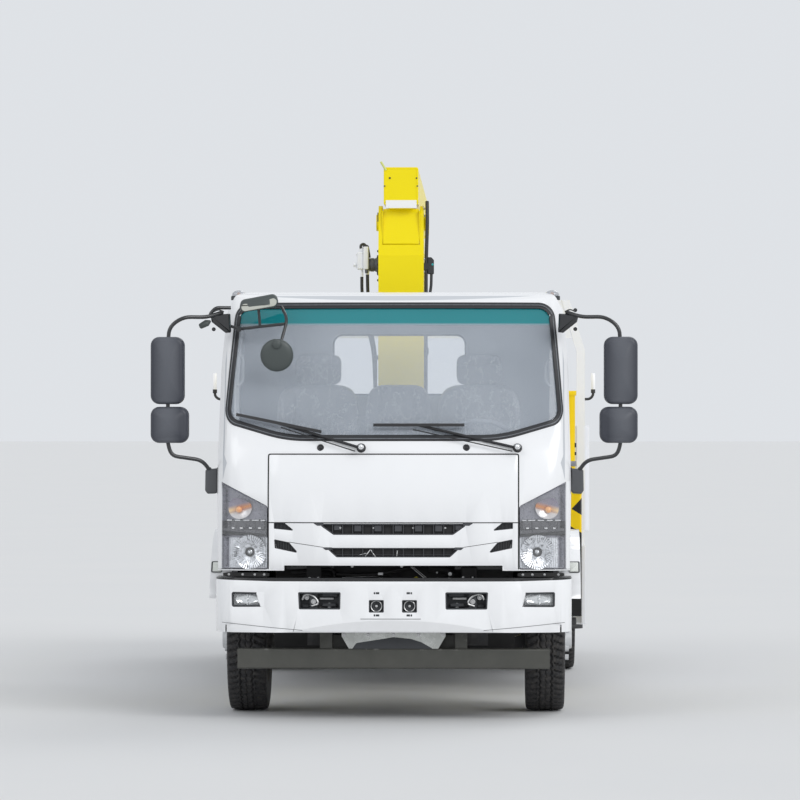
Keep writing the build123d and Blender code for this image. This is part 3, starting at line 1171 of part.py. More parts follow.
# Hook block: hangs on the head pin by its two cheeks, with a sheave and the hook below
hook_s, hook_z = HOOK_PIN
cheek = side_prism(rounded((hook_s - 34, hook_z + 34, 30), (hook_s + 34, hook_z + 34, 30),
                           (hook_s + 70, hook_z - 250, 60),
                           (hook_s + 30, hook_z - 340, 20), (hook_s - 30, hook_z - 340, 20),
                           (hook_s - 70, hook_z - 250, 60)), 22, 36)
cheek -= bar_x((0, 60), hook_s, hook_z, 16 + SLIDE_GAP)
hook = both(cheek) + Pos(0, hook_s, hook_z - 220) * Rot(0, 90, 0) * Cylinder(66, 30)
hook += bar_x((-36, 36), hook_s, hook_z - 220, 14)
hook += block((-36, 36), (hook_s - 28, hook_s + 28), (hook_z - 350, hook_z - 318))
hook += bar_z(0, hook_s, (hook_z - 400, hook_z - 340), 20)
ring_arc = Pos(0, hook_s, hook_z - 460) * Rot(0, 90, 0) * Torus(52, 18)
ring_arc -= side_prism(rounded((hook_s + 8, hook_z - 462, 0), (hook_s + 120, hook_z - 462, 0),
                               (hook_s + 120, hook_z - 380, 0),
                               (hook_s + 20, hook_z - 400, 0)), -40, 40)
hook += ring_arc
save("hook_block", hook)

# Lift cylinder: barrel on the column's pin and rod to the boom's lug; no pin passes the rod's eye
run = hypot(lug_s - LIFT_PIN[0], LUG_Z - LIFT_PIN[1])
rise_angle = degrees(atan((LUG_Z - LIFT_PIN[1]) / (lug_s - LIFT_PIN[0])))
BARREL_RADIUS = 62
ROD_RADIUS = 36
BARREL_END = 930


def along_lift(shape):
    """Place a shape drawn up the Z axis from the lower pin on the cylinder's line."""
    return Pos(0, *LIFT_PIN) * Rot(rise_angle - 90, 0, 0) * shape


barrel = Pos(0, 0, 90) * Cylinder(BARREL_RADIUS, BARREL_END - 90,
                                  align=(Align.CENTER, Align.CENTER, Align.MIN))
barrel += Rot(0, 90, 0) * Cylinder(48, 108)
barrel += Pos(0, 0, 60) * Box(80, 70, 80)
barrel -= Rot(0, 90, 0) * Cylinder(25.1, 120)
barrel -= Pos(0, 0, 150) * Cylinder(ROD_RADIUS + 14, BARREL_END - 150 - 50,
                                    align=(Align.CENTER, Align.CENTER, Align.MIN))
barrel -= Pos(0, 0, 150) * Cylinder(ROD_RADIUS + SLIDE_GAP, BARREL_END,
                                    align=(Align.CENTER, Align.CENTER, Align.MIN))
save("lift_barrel", along_lift(barrel))
piston = Pos(0, 0, 200) * Cylinder(ROD_RADIUS, run - 200 - 30,
                                   align=(Align.CENTER, Align.CENTER, Align.MIN))
piston += Pos(0, 0, run) * Rot(0, 90, 0) * Cylinder(45, 108)
piston -= Pos(0, 0, run) * Rot(0, 90, 0) * Cylinder(25, 120)
save("lift_rod", along_lift(piston))

# Column hoses: a bundle up the column's left side, clipped to it
hoses = None
for index in range(3):
    at = SLEW_S - 196 + index * 26
    one = pipe([(COLUMN_HALF + 12, at, 1500), (COLUMN_HALF + 14, at, 2700),
                (COLUMN_HALF + 22, at + 10, 2980),
                (COLUMN_HALF + 20, at + 40, 3110)], [300, 120], 11)
    hoses = one if hoses is None else hoses + one
for clip in (1700, 2150, 2680):
    hoses += block((COLUMN_HALF + SEAT_GAP, COLUMN_HALF + 30), (SLEW_S - 212, SLEW_S - 128),
                   (clip, clip + 40))
save("column_hoses", hoses)
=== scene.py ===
"""Looks of a drop-side truck with a telescopic crane behind its cab.

Metres, +Z up, the truck faces -Y and its left side is +X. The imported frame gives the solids;
each section below finishes one group of them and adds the pieces that the solids leave out.
"""
import math

import bmesh
import bpy
import numpy as np
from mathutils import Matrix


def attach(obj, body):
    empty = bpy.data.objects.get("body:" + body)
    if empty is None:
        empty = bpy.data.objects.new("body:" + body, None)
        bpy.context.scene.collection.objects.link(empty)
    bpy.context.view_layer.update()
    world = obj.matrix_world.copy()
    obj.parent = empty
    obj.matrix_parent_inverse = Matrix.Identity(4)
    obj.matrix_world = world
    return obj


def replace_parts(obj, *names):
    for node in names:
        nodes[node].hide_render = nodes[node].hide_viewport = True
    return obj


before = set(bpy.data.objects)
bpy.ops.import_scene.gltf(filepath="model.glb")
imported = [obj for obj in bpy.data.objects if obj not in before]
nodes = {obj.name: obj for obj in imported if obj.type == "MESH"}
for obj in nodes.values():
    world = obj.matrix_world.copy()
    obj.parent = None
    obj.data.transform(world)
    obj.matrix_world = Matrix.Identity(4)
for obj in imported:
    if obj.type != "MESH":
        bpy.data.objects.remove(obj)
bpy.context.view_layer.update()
NOSE_Y = -3.975

# The studio: a pale floor of painted concrete that runs far back to a pale, even sky.
# The camera stands 24 m ahead of the bumper, a little to the driver's side, at eye height.
camera_data = bpy.data.cameras.new("camera")
camera_data.lens = 188.55
camera_data.sensor_width = 36
camera_data.clip_end = 2000
camera = bpy.data.objects.new("camera", camera_data)
camera.location = (0.556, -27.975, 1.652)
camera.rotation_euler = (math.radians(90.465), 0, math.radians(1.23))
bpy.context.collection.objects.link(camera)
bpy.context.scene.camera = camera
bpy.context.scene.view_settings.view_transform = "Standard"


class Sock:
    """A shader socket used as a number: each operator adds the Math node that does it."""

    def __init__(self, tree, output):
        self.tree = tree
        self.output = output

    def _math(self, operation, *values):
        node = self.tree.nodes.new("ShaderNodeMath")
        node.operation = operation
        for place, value in enumerate(values):
            if isinstance(value, Sock):
                self.tree.links.new(value.output, node.inputs[place])
            else:
                node.inputs[place].default_value = value
        return Sock(self.tree, node.outputs[0])

    def __add__(self, other):
        return self._math("ADD", self, other)

    __radd__ = __add__

    def __sub__(self, other):
        return self._math("SUBTRACT", self, other)

    def __rsub__(self, other):
        return self._math("SUBTRACT", other, self)

    def __mul__(self, other):
        return self._math("MULTIPLY", self, other)

    __rmul__ = __mul__

    def __truediv__(self, other):
        return self._math("DIVIDE", self, other)

    def above(self, level):
        return self._math("GREATER_THAN", self, level)

    def below(self, level):
        return self._math("LESS_THAN", self, level)

    def wrap(self, span):
        """What is left over each whole span."""
        return self._math("FLOORED_MODULO", self, span)

    def size(self):
        return self._math("ABSOLUTE", self)

    def root(self):
        return self._math("SQRT", self, self)

    def angle(self, other):
        """Angle of the point (other, self) about the origin."""
        return self._math("ARCTAN2", self, other)

    def held(self, low=0.0, high=1.0):
        """The value kept between the two limits."""
        return self._math("MINIMUM", self._math("MAXIMUM", self, low), high)

    def rise(self, start, end):
        """0 up to start, then a straight climb to 1 at end."""
        return ((self - start) / (end - start)).held()


class Finish:
    """One material: its shader's own values are set here, and what varies is fed to it later."""

    def __init__(self, name, colour, roughness, **sockets):
        self.material = bpy.data.materials.new(name)
        self.material.use_nodes = True
        self.tree = self.material.node_tree
        self.shader = self.tree.nodes["Principled BSDF"]
        self.shader.inputs["Base Color"].default_value = (*colour, 1)
        self.shader.inputs["Roughness"].default_value = roughness
        for socket, value in sockets.items():
            self.shader.inputs[socket.replace("_", " ")].default_value = value
        self.place = self.node("ShaderNodeTexCoord", "Object").output

    def node(self, kind, out, settings=None, **sockets):
        """Any node: its settings first, then values or links by socket name (spaces written _)."""
        node = self.tree.nodes.new(kind)
        for setting, value in (settings or {}).items():
            setattr(node, setting, value)
        for name, value in sockets.items():
            socket = node.inputs[int(name[1:])] if name[0] == "_" else node.inputs[name.replace("_", " ")]
            value = value.output if isinstance(value, Sock) else value
            if isinstance(value, bpy.types.NodeSocket):
                self.tree.links.new(value, socket)
            else:
                socket.default_value = value
        return Sock(self.tree, node.outputs[out])

    def axis(self, letter):
        """One coordinate of the surface point, in metres of the whole vehicle."""
        return self.node("ShaderNodeSeparateXYZ", letter, _0=self.place)

    x = property(lambda self: self.axis("X"))
    y = property(lambda self: self.axis("Y"))
    z = property(lambda self: self.axis("Z"))
    beside = property(lambda self: self.x.size(), doc="Distance from the truck's middle.")

    def noise(self, scale, detail=2.0, roughness=0.5, stretch=(1, 1, 1)):
        """Cloudy value about 0.5, with scale in lumps per metre."""
        spread = self.node("ShaderNodeMapping", 0, Vector=self.place, Scale=stretch)
        return self.node("ShaderNodeTexNoise", "Fac", Vector=spread, Scale=scale, Detail=detail, Roughness=roughness)

    def mix(self, first, second, factor):
        """Colour that goes from the first to the second with the factor."""
        return self.node("ShaderNodeMix", 2, {"data_type": "RGBA"}, Factor=factor,
                         _6=first if isinstance(first, Sock) else (*first[:3], 1),
                         _7=second if isinstance(second, Sock) else (*second[:3], 1))

    def cloudy(self, first, second, scale, detail=2):
        """Colour that drifts in clouds from the first to the second."""
        return self.mix(first, second, self.noise(scale, detail))

    def colour_so_far(self):
        """What feeds the shader's colour now, for a further layer over it."""
        return Sock(self.tree, self.shader.inputs["Base Color"].links[0].from_socket)

    def feed(self, **sockets):
        for name, value in sockets.items():
            self.tree.links.new(value.output, self.shader.inputs[name.replace("_", " ")])
        return self

    def bump(self, height, distance, strength=1.0):
        return self.feed(Normal=self.node("ShaderNodeBump", 0, Height=height, Distance=distance, Strength=strength))

    def grain(self, scale, distance, strength):
        """Fine moulded or sprayed grain."""
        return self.bump(self.noise(scale, 2), distance, strength)


def plain(name, colour, roughness, low, spread, scale, detail, **sockets):
    """A skin of one colour whose roughness is cloudy: low plus up to spread."""
    skin = Finish(name, colour, roughness, **sockets)
    return skin.feed(Roughness=low + skin.noise(scale, detail) * spread)


floor_finish = Finish("floor_concrete", (0.68, 0.68, 0.68), 0.9)
floor_cloud = floor_finish.noise(0.4, 4)
floor_finish.feed(Base_Color=floor_finish.mix((0.67, 0.675, 0.68), (0.70, 0.70, 0.695), floor_cloud))

FLOOR_REACH = 900.0
floor_mesh = bpy.data.meshes.new("floor")
floor_mesh.from_pydata([(-FLOOR_REACH, -FLOOR_REACH, 0), (FLOOR_REACH, -FLOOR_REACH, 0),
                        (FLOOR_REACH, FLOOR_REACH, 0), (-FLOOR_REACH, FLOOR_REACH, 0)], [], [(0, 1, 2, 3)])
floor_mesh.materials.append(floor_finish.material)
floor = bpy.data.objects.new("floor", floor_mesh)
bpy.context.collection.objects.link(floor)

world = bpy.data.worlds.new("studio")
bpy.context.scene.world = world
world.use_nodes = True
sky = world.node_tree.nodes["Background"]
sky.inputs["Color"].default_value = (0.90, 0.93, 0.97, 1)
light_path = world.node_tree.nodes.new("ShaderNodeLightPath")
seen = Sock(world.node_tree, light_path.outputs["Is Camera Ray"])
mirrored_sky = Sock(world.node_tree, light_path.outputs["Is Glossy Ray"])
through = Sock(world.node_tree, light_path.outputs["Is Transmission Ray"])
sky_strength = 0.71 + 0.11 * (seen + mirrored_sky + through).held()
world.node_tree.links.new(sky_strength.output, sky.inputs["Strength"])

# Two wide, soft suns ahead, one to each side, and a weaker one behind keep the light even
# over the whole floor and reach into the gap behind the cab.
for name, power, turn, spread in (("key_sun", 0.35, (60, 0, -42), 30), ("fill_sun", 1.15, (60, 0, 42), 34),
                                  ("back_sun", 0.5, (-48, 0, -30), 30)):
    sun_data = bpy.data.lights.new(name, "SUN")
    sun_data.energy = power
    sun_data.angle = math.radians(spread)
    sun = bpy.data.objects.new(name, sun_data)
    sun.rotation_euler = [math.radians(angle) for angle in turn]
    bpy.context.collection.objects.link(sun)


def dress(finish, *names, soften=0.0):
    """Gives CAD nodes a finish; soften rounds their sharp edges by that radius in metres."""
    for name in names:
        node = nodes[name]
        node.data.materials.clear()
        node.data.materials.append(finish.material)
        if soften:
            weld = node.modifiers.new("weld", "WELD")
            weld.merge_threshold = 0.0002
            bevel = node.modifiers.new("edges", "BEVEL")
            bevel.width = soften
            bevel.segments = 2
            bevel.limit_method = "ANGLE"
            bevel.angle_limit = math.radians(28)
            bevel.harden_normals = True


# The ladder frame, axles and springs: pressed and forged steel under black chassis paint,
# which gathers more road dust the lower it lies.
def painted(name, colour, roughness, dust=0.15, peel=0.0004, coat=0.0, **sockets):
    """Paint: the colour drifts a little, dust greys it in clouds, and its skin has a faint peel."""
    paint = Finish(name, colour, roughness, Coat_Weight=coat, Coat_Roughness=0.08, **sockets)
    drift = paint.mix([c * 0.96 for c in colour], [min(c * 1.03, 1) for c in colour], paint.noise(1.5, 3))
    low = 1 - paint.z.rise(0.3, 1.3)
    grime = (paint.noise(7, 5, 0.65) - 0.45).held() * low * dust * 4
    paint.feed(Base_Color=paint.mix(drift, (0.33, 0.31, 0.28), grime.held(0, 0.6)))
    paint.feed(Roughness=(paint.noise(12, 3) * 0.10 + (roughness - 0.05) + grime * 0.3).held())
    if peel:
        paint.grain(220, peel, 0.15)
    return paint


chassis_black = painted("chassis_black", (0.035, 0.035, 0.038), 0.42, 0.5, 0.001)
dress(chassis_black, "ladder_frame", "leaf_springs", "front_axle", "rear_axle", "knuckle_left", "knuckle_right",
      "tie_rod")

# Engine and gearbox castings, the radiator, the fuel tank, the battery box and the silencer
# hang between and beside the rails.
engine_grey = painted("engine_grey", (0.16, 0.165, 0.17), 0.55, 0.5, 0.002)
dress(engine_grey, "powertrain")
radiator_black = painted("radiator_black", (0.03, 0.032, 0.034), 0.5, 0.3, 0.0005)
dress(radiator_black, "radiator")
tank_metal = Finish("tank_metal", (0.66, 0.67, 0.68), 0.32, Metallic=1.0)
dress(tank_metal, "fuel_tank", soften=0.006)
box_plastic = painted("box_plastic", (0.045, 0.047, 0.05), 0.5, 0.4, 0.0005)
dress(box_plastic, "battery_box", soften=0.006)
silencer_metal = Finish("silencer_metal", (0.42, 0.41, 0.39), 0.42, Metallic=1.0)
dress(silencer_metal, "exhaust")

# Tyres: radial road tyres with a lugged tread, moulded in black rubber. The section runs from
# bead to bead over the tread; zigzag grooves run round it and side grooves part its shoulder lugs.
def net(rows, columns, wrap_rows=False, wrap_columns=False):
    """Four-sided faces over points numbered row by row; wrap joins the last to the first."""
    row = np.arange(rows if wrap_rows else rows - 1)[:, None]
    column = np.arange(columns if wrap_columns else columns - 1)[None, :]
    next_row = (row + 1) % rows
    next_column = (column + 1) % columns
    corners = (row * columns + column, row * columns + next_column,
               next_row * columns + next_column, next_row * columns + column)
    return np.stack(np.broadcast_arrays(*corners), -1).reshape(-1, 4)


def piece(name, parts, finish, body, crease=35.0):
    """One object on a body from parts, each its points and a list of face arrays.

    Doubled points are merged and faces turned outwards; edges sharper than crease stay sharp.
    """
    points = np.concatenate([part[0] for part in parts])
    faces = []
    start = 0
    for spots, polygons in parts:
        for polygon in polygons:
            faces += (np.atleast_2d(polygon) + start).tolist()
        start += len(spots)
    mesh = bpy.data.meshes.new(name)
    mesh.from_pydata(points.tolist(), [], faces)
    shape = bmesh.new()
    shape.from_mesh(mesh)
    bmesh.ops.remove_doubles(shape, verts=shape.verts, dist=1e-6)
    bmesh.ops.dissolve_degenerate(shape, edges=shape.edges, dist=1e-7)
    bmesh.ops.recalc_face_normals(shape, faces=shape.faces)
    for edge in shape.edges:
        edge.smooth = edge.calc_face_angle(0) < math.radians(crease)
    shape.to_mesh(mesh)
    shape.free()
    mesh.polygons.foreach_set("use_smooth", [True] * len(mesh.polygons))
    mesh.materials.append(finish.material)
    made = bpy.data.objects.new(name, mesh)
    bpy.context.collection.objects.link(made)
    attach(made, body)
    return made


TYRE_RADIUS = 0.428
FRONT_AXLE = (NOSE_Y + 1.110, TYRE_RADIUS)
REAR_AXLE = (NOSE_Y + 5.585, TYRE_RADIUS)
LUG_COUNT = 60
LUG_STEPS = 6
GROOVE_DEEP = 0.012
TYRE_SIDE = [(0.1065, 0.4185), (0.1125, 0.4065), (0.1152, 0.392), (0.1149, 0.386), (0.1158, 0.372), (0.1168, 0.345),
             (0.1170, 0.318), (0.1160, 0.296), (0.1124, 0.270), (0.1085, 0.2585), (0.1066, 0.2565), (0.1036, 0.2455),
             (0.0945, 0.2320), (0.0860, 0.2245), (0.0790, 0.2222), (0.0740, 0.2086)]


def tyre(middle, axle):
    """The section (across, radius) carried round the axle, with the grooves taken off its radius.

    A groove is a smooth step about its middle line: the two inner lines zigzag with the angle,
    the outer ones cross the shoulder once per lug and slant with the distance across.
    """
    across = np.linspace(-0.102, 0.102, 52)
    crown = TYRE_RADIUS - 0.0045 * (across / 0.102) ** 2 - 0.0035 * np.abs(across / 0.102) ** 8
    side = np.array(TYRE_SIDE)
    section = np.concatenate([side[::-1] * (-1, 1), np.stack([across, crown], 1), side])
    steps = LUG_COUNT * LUG_STEPS
    angle = np.arange(steps) / steps * 2 * np.pi
    x = section[None, :, 0]
    pitch = angle[:, None] * LUG_COUNT / (2 * np.pi)
    zigzag = 0.006 * (4 * np.abs((pitch + 0.25) % 1 - 0.5) - 1)
    inner = np.clip((0.0042 - np.abs(np.abs(x) - 0.034 - zigzag)) / 0.002 + 0.5, 0, 1)
    centre = np.clip((0.0025 - np.abs(x + zigzag * 0.8)) / 0.002 + 0.5, 0, 1) * 0.6
    slant = (pitch + np.abs(x) * 9) % 1
    lugs = np.clip((0.17 - np.abs(slant - 0.5)) / 0.06 + 0.5, 0, 1)
    shoulder = lugs * np.clip((np.abs(x) - 0.047) / 0.003, 0, 1) * (section[None, :, 1] > 0.402)
    sipe = np.clip((0.09 - np.abs((pitch + 0.5 * np.sign(x)) % 1 - 0.5)) / 0.04, 0, 1) * (np.abs(x) < 0.030) * 0.5
    depth = GROOVE_DEEP * np.maximum.reduce(np.broadcast_arrays(inner, centre, shoulder, sipe))
    radius = section[None, :, 1] - depth
    points = np.stack([np.broadcast_to(x + middle, radius.shape), axle[0] + radius * np.sin(angle)[:, None],
                       axle[1] + radius * np.cos(angle)[:, None]], -1).reshape(-1, 3)
    return points, [net(steps, len(section), wrap_rows=True, wrap_columns=True)]


tyre_rubber = Finish("tyre_rubber", (0.026, 0.026, 0.028), 0.8)
tread_dust = (tyre_rubber.noise(40, 4, 0.6) - 0.42).held() * 1.6
tyre_rubber.feed(Base_Color=tyre_rubber.mix((0.022, 0.022, 0.024), (0.11, 0.10, 0.09), tread_dust.held(0, 0.75)),
                 Roughness=(0.7 + tread_dust * 0.3).held())
tyre_rubber.grain(500, 0.0008, 0.5)
for wheel, sign in (("left", 1), ("right", -1)):
    front = piece(f"tread_tyre_front_{wheel}", [tyre(sign * 0.8825, FRONT_AXLE)], tyre_rubber, f"wheel_front_{wheel}",
                  50)
    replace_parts(front, f"tyre_front_{wheel}")
    for place, middle in (("inner", 0.7525), ("outer", 1.0325)):
        twin = piece(f"tread_tyre_rear_{wheel}_{place}", [tyre(sign * middle, REAR_AXLE)], tyre_rubber,
                     f"wheels_rear_{wheel}", 50)
        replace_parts(twin, f"tyres_rear_{wheel}")

# Wheels: pressed steel discs and their studs, all in silver paint.
rim_silver = painted("rim_silver", (0.60, 0.61, 0.62), 0.35, 0.3)
dress(rim_silver, "rim_front_left", "rim_front_right", "rims_rear_left", "rims_rear_right", soften=0.0015)

# Bumper: a white moulded shell bowed with the cab. Its pockets hold fog lamps, two towing
# mounts behind black openings and two round distance sensors; a lower lip turns under.
CAB_BOW = 6.0
AHEAD = (0, -1, 0)
UP = (0, 0, 1)


def rounded(corners, steps=5):
    """Corner points (a, b, radius) turned into an outline: each corner becomes an arc of its radius."""
    corners = np.array(corners, float)
    spots = corners[:, :2]
    before = np.roll(spots, 1, 0) - spots
    after = np.roll(spots, -1, 0) - spots
    before /= np.linalg.norm(before, axis=1)[:, None]
    after /= np.linalg.norm(after, axis=1)[:, None]
    half = np.arccos(np.clip((before * after).sum(1), -1, 1)) / 2
    cut = corners[:, 2] / np.tan(half)
    along = np.linspace(0, 1, steps)[None, :, None]
    start = (spots + before * cut[:, None])[:, None]
    end = (spots + after * cut[:, None])[:, None]
    corner = spots[:, None]
    weight = np.sin(half)[:, None, None]
    rise = 2 * along * (1 - along) * weight
    arc = ((1 - along) ** 2 * start + rise * corner + along ** 2 * end) / ((1 - along) ** 2 + rise + along ** 2)
    return arc.reshape(-1, 2)


def rect(x0, z0, x1, z1, radius, steps=5, side=1):
    """Outline of a rectangle between two opposite corners, rounded; side -1 mirrors it."""
    return handed([(x0, z0, radius), (x1, z0, radius), (x1, z1, radius), (x0, z1, radius)], side, steps)


def handed(corners, side, steps=5):
    """Rounded outline of the corners, mirrored across the truck's middle where side is -1."""
    return rounded(np.array(corners) * (side, 1, 1), steps)


def inset(outline, by):
    """Outline moved inwards: each point goes along its corner's bisector."""
    step = np.roll(outline, -1, 0) - outline
    step = step / np.maximum(np.linalg.norm(step, axis=1), 1e-9)[:, None]
    area = (outline[:, 0] * np.roll(outline[:, 1], -1) - outline[:, 1] * np.roll(outline[:, 0], -1)).sum()
    normal = np.stack([-step[:, 1], step[:, 0]], 1) * (1 if area > 0 else -1)
    both = normal + np.roll(normal, 1, 0)
    both /= np.maximum((both ** 2).sum(1), 0.2)[:, None] / 2
    return outline + both * by


def slab(outline, low, high, place, chamfer=0.001):
    """Outline carried from depth low to high, its rims chamfered, through place(a, b, depth)."""
    rings = [(inset(outline, chamfer), low), (outline, low + chamfer), (outline, high - chamfer),
             (inset(outline, chamfer), high)]
    points = np.concatenate([place(ring[:, 0], ring[:, 1], np.full(len(ring), depth)) for ring, depth in rings])
    count = len(outline)
    return points, [net(4, count, wrap_columns=True), np.arange(count)[::-1], np.arange(count) + 3 * count]


def panels(rows, place, side=1):
    """Rectangular slabs, each row two opposite corners, corner radius, two depths and chamfer."""
    return [slab(rect(x0, z0, x1, z1, bend, side=side), low, high, place, chamfer)
            for x0, z0, x1, z1, bend, low, high, chamfer in rows]


def frame_slab(outline, width, low, high, place, chamfer=0.001):
    """A ring that follows the outline, width wide inwards, from depth low to high."""
    inner = inset(outline, width)
    rings = [(outline, low), (outline, high - chamfer), (inset(outline, chamfer), high),
             (inset(inner, -chamfer), high), (inner, high - chamfer), (inner, low)]
    points = np.concatenate([place(ring[:, 0], ring[:, 1], np.full(len(ring), depth)) for ring, depth in rings])
    return points, [net(6, len(outline), wrap_rows=True, wrap_columns=True)]


def turned(profile, centre, axis, steps=32):
    """Profile points (along, radius) carried round the axis through the centre."""
    profile = np.array(profile, float)
    axis = np.array(axis, float) / np.linalg.norm(axis)
    side = np.cross(axis, UP if abs(axis[2]) < 0.9 else (1, 0, 0))
    side /= np.linalg.norm(side)
    top = np.cross(axis, side)
    angle = np.arange(steps) / steps * 2 * np.pi
    round_ = np.cos(angle)[:, None, None] * side + np.sin(angle)[:, None, None] * top
    points = np.array(centre) + profile[None, :, :1] * axis + profile[None, :, 1:] * round_
    return points.reshape(-1, 3), [net(steps, len(profile), wrap_rows=True, wrap_columns=True)]


def pin(centre, axis, radius, length, rim=0.0, sides=12):
    """Cylinder from the centre along the axis; its far end draws out by rim to a flat cone."""
    return turned([(0, 0.0), (0, radius), (length, radius), (length + rim, 0.0)], centre, axis, sides)


def smooth_path(points, bend, steps=6):
    """Path through the points with each inner corner rounded by an arc-like curve of size bend."""
    points = np.array(points, float)
    path = [points[:1]]
    t = np.linspace(0, 1, steps)[:, None]
    for before, corner, after in zip(points[:-2], points[1:-1], points[2:]):
        near = min(bend, np.linalg.norm(before - corner) * 0.48, np.linalg.norm(after - corner) * 0.48)
        start = corner + (before - corner) / np.linalg.norm(before - corner) * near
        end = corner + (after - corner) / np.linalg.norm(after - corner) * near
        path.append((1 - t) ** 2 * start + 2 * t * (1 - t) * corner + t ** 2 * end)
    path.append(points[-1:])
    return np.concatenate(path)


def carried(profile, path, closed=False, up=UP):
    """Profile (side, top) carried along the path: side is the run crossed with up, top stands on both."""
    profile = np.array(profile, float)
    path = np.array(path, float)
    if closed:
        run = np.roll(path, -1, 0) - np.roll(path, 1, 0)
    else:
        run = np.gradient(path, axis=0)
    run /= np.linalg.norm(run, axis=1)[:, None]
    side = np.cross(run, np.broadcast_to(up, run.shape))
    side /= np.linalg.norm(side, axis=1)[:, None]
    top = np.cross(side, run)
    points = path[:, None] + side[:, None] * profile[None, :, :1] + top[:, None] * profile[None, :, 1:]
    count = len(profile)
    faces = [net(len(path), count, wrap_rows=closed, wrap_columns=True)]
    if not closed:
        faces += [np.arange(count)[::-1], np.arange(count) + (len(path) - 1) * count]
    return points.reshape(-1, 3), faces


def ring(radius, count=12, squash=1.0):
    """Round profile for tubes."""
    angle = np.arange(count) / count * 2 * np.pi
    return np.stack([np.cos(angle) * radius, np.sin(angle) * radius * squash], 1)


def bumper_face(x, z, out):
    """The bumper's face: it bows back as a circle of the cab's bow radius."""
    return np.stack([x, NOSE_Y + CAB_BOW - np.sqrt(CAB_BOW ** 2 - x ** 2) - out, z], -1)


def on_face(place, x, z, out=0.0):
    """One point of a face."""
    return place(np.array([x]), np.array([z]), np.array([out]))[0]


def bolt(centre, axis, width=0.012, height=0.007):
    """Six-sided bolt head on its washer."""
    head = turned([(0.002, 0.0), (0.002, width * 0.58), (height, width * 0.58), (height + 0.0015, width * 0.48),
                   (height + 0.0015, 0.0)], centre, axis, 6)
    washer = turned([(0, 0.0), (0, width * 0.9), (0.002, width * 0.9), (0.0025, 0.0)], centre, axis, 16)
    return [head, washer]


GLOSS_COAT = 0.6


def gloss_white(name):
    """The cab's gloss white, under a clear coat."""
    return painted(name, (0.88, 0.885, 0.895), 0.22, 0.06, 0.0003, GLOSS_COAT)


cab_white = gloss_white("cab_white")
bumper_paint = gloss_white("bumper_paint")
skin_depth = bumper_paint.y - NOSE_Y - bumper_paint.x * bumper_paint.x / 12
inside_and_gap_shade = skin_depth.above(0.052) * bumper_paint.beside.below(0.905)
# Faces more than 52 mm behind the bumper's face are black, and so is a strip along its top edge: painted shade for
# the dark gap between bumper and cab.
top_gap_shade = (bumper_paint.z - (bumper_paint.beside - 0.70).held(0, 9) * 0.028).above(0.8065)
inside_and_gap_shade = (inside_and_gap_shade + top_gap_shade).held()
bumper_paint.feed(Base_Color=bumper_paint.mix(bumper_paint.colour_so_far(),
                                              (0.015, 0.015, 0.016), inside_and_gap_shade), Coat_Weight=GLOSS_COAT * (1 - inside_and_gap_shade))
dress(bumper_paint, "bumper", soften=0.008)
dark_plastic = plain("dark_plastic", (0.040, 0.043, 0.048), 0.5, 0.42, 0.2, 30, 3)
dark_plastic.grain(900, 0.0003, 0.4)
chrome = plain("reflector_chrome", (0.86, 0.87, 0.88), 0.08, 0.05, 0.10, 60, 2, Metallic=1.0)
lens_clear = Finish("lens_clear", (0.92, 0.95, 0.97), 0.03, Alpha=0.18, Coat_Weight=1.0)
lens_clear.feed(Alpha=0.14 + lens_clear.noise(25, 2) * 0.08)
bare_steel = Finish("bare_steel", (0.60, 0.60, 0.60), 0.38, Metallic=1.0)
bare_steel.feed(Base_Color=bare_steel.cloudy((0.42, 0.42, 0.42), (0.68, 0.68, 0.68), 30, 4))

FOG = [(0.742, 0.660, 0.012), (0.928, 0.658, 0.012), (0.930, 0.745, 0.012), (0.740, 0.742, 0.012)]
FOG_DISH = [(0.000, 0.0), (0.004, 0.020), (0.014, 0.036), (0.022, 0.040), (0.020, 0.041), (-0.002, 0.020),
            (-0.003, 0.0)]
FOG_DISH_STRETCH = 1.9
FOG_CORNERS = {1: (0.762, 0.744), -1: (0.788, 0.762)}
VENT = [(0.302, 0.646, 0.008), (0.540, 0.646, 0.008), (0.545, 0.745, 0.008), (0.300, 0.745, 0.008)]
VENT_PANELS = [(0.303, 0.648, 0.437, 0.743, 0.002, -0.085, -0.079, 0.001),
               (0.435, 0.648, 0.479, 0.743, 0.002, -0.037, -0.031, 0.001),
               (0.477, 0.648, 0.543, 0.743, 0.002, -0.085, -0.079, 0.001),
               (0.327, 0.660, 0.407, 0.680, 0.004, -0.078, -0.050, 0.003),
               (0.318, 0.716, 0.407, 0.738, 0.004, -0.078, -0.050, 0.003),
               (0.482, 0.655, 0.524, 0.672, 0.004, -0.078, -0.050, 0.003)]
TOW_HOOK = [(0.522, 0.700), (0.507, 0.735), (0.467, 0.730), (0.437, 0.705), (0.427, 0.676), (0.467, 0.664)]
SENSOR = [(0, 0.0), (0, 0.033), (0.022, 0.033), (0.026, 0.030), (0.024, 0.026), (0.012, 0.020), (0.010, 0.012),
          (0.016, 0.008), (0.018, 0.0)]
SENSOR_RING = [(0.020, 0.026), (0.0262, 0.0285), (0.0275, 0.0315), (0.0262, 0.034), (0.018, 0.034)]
rims, lenses, bowls, blacks, steels, fillers = [], [], [], [], [], []
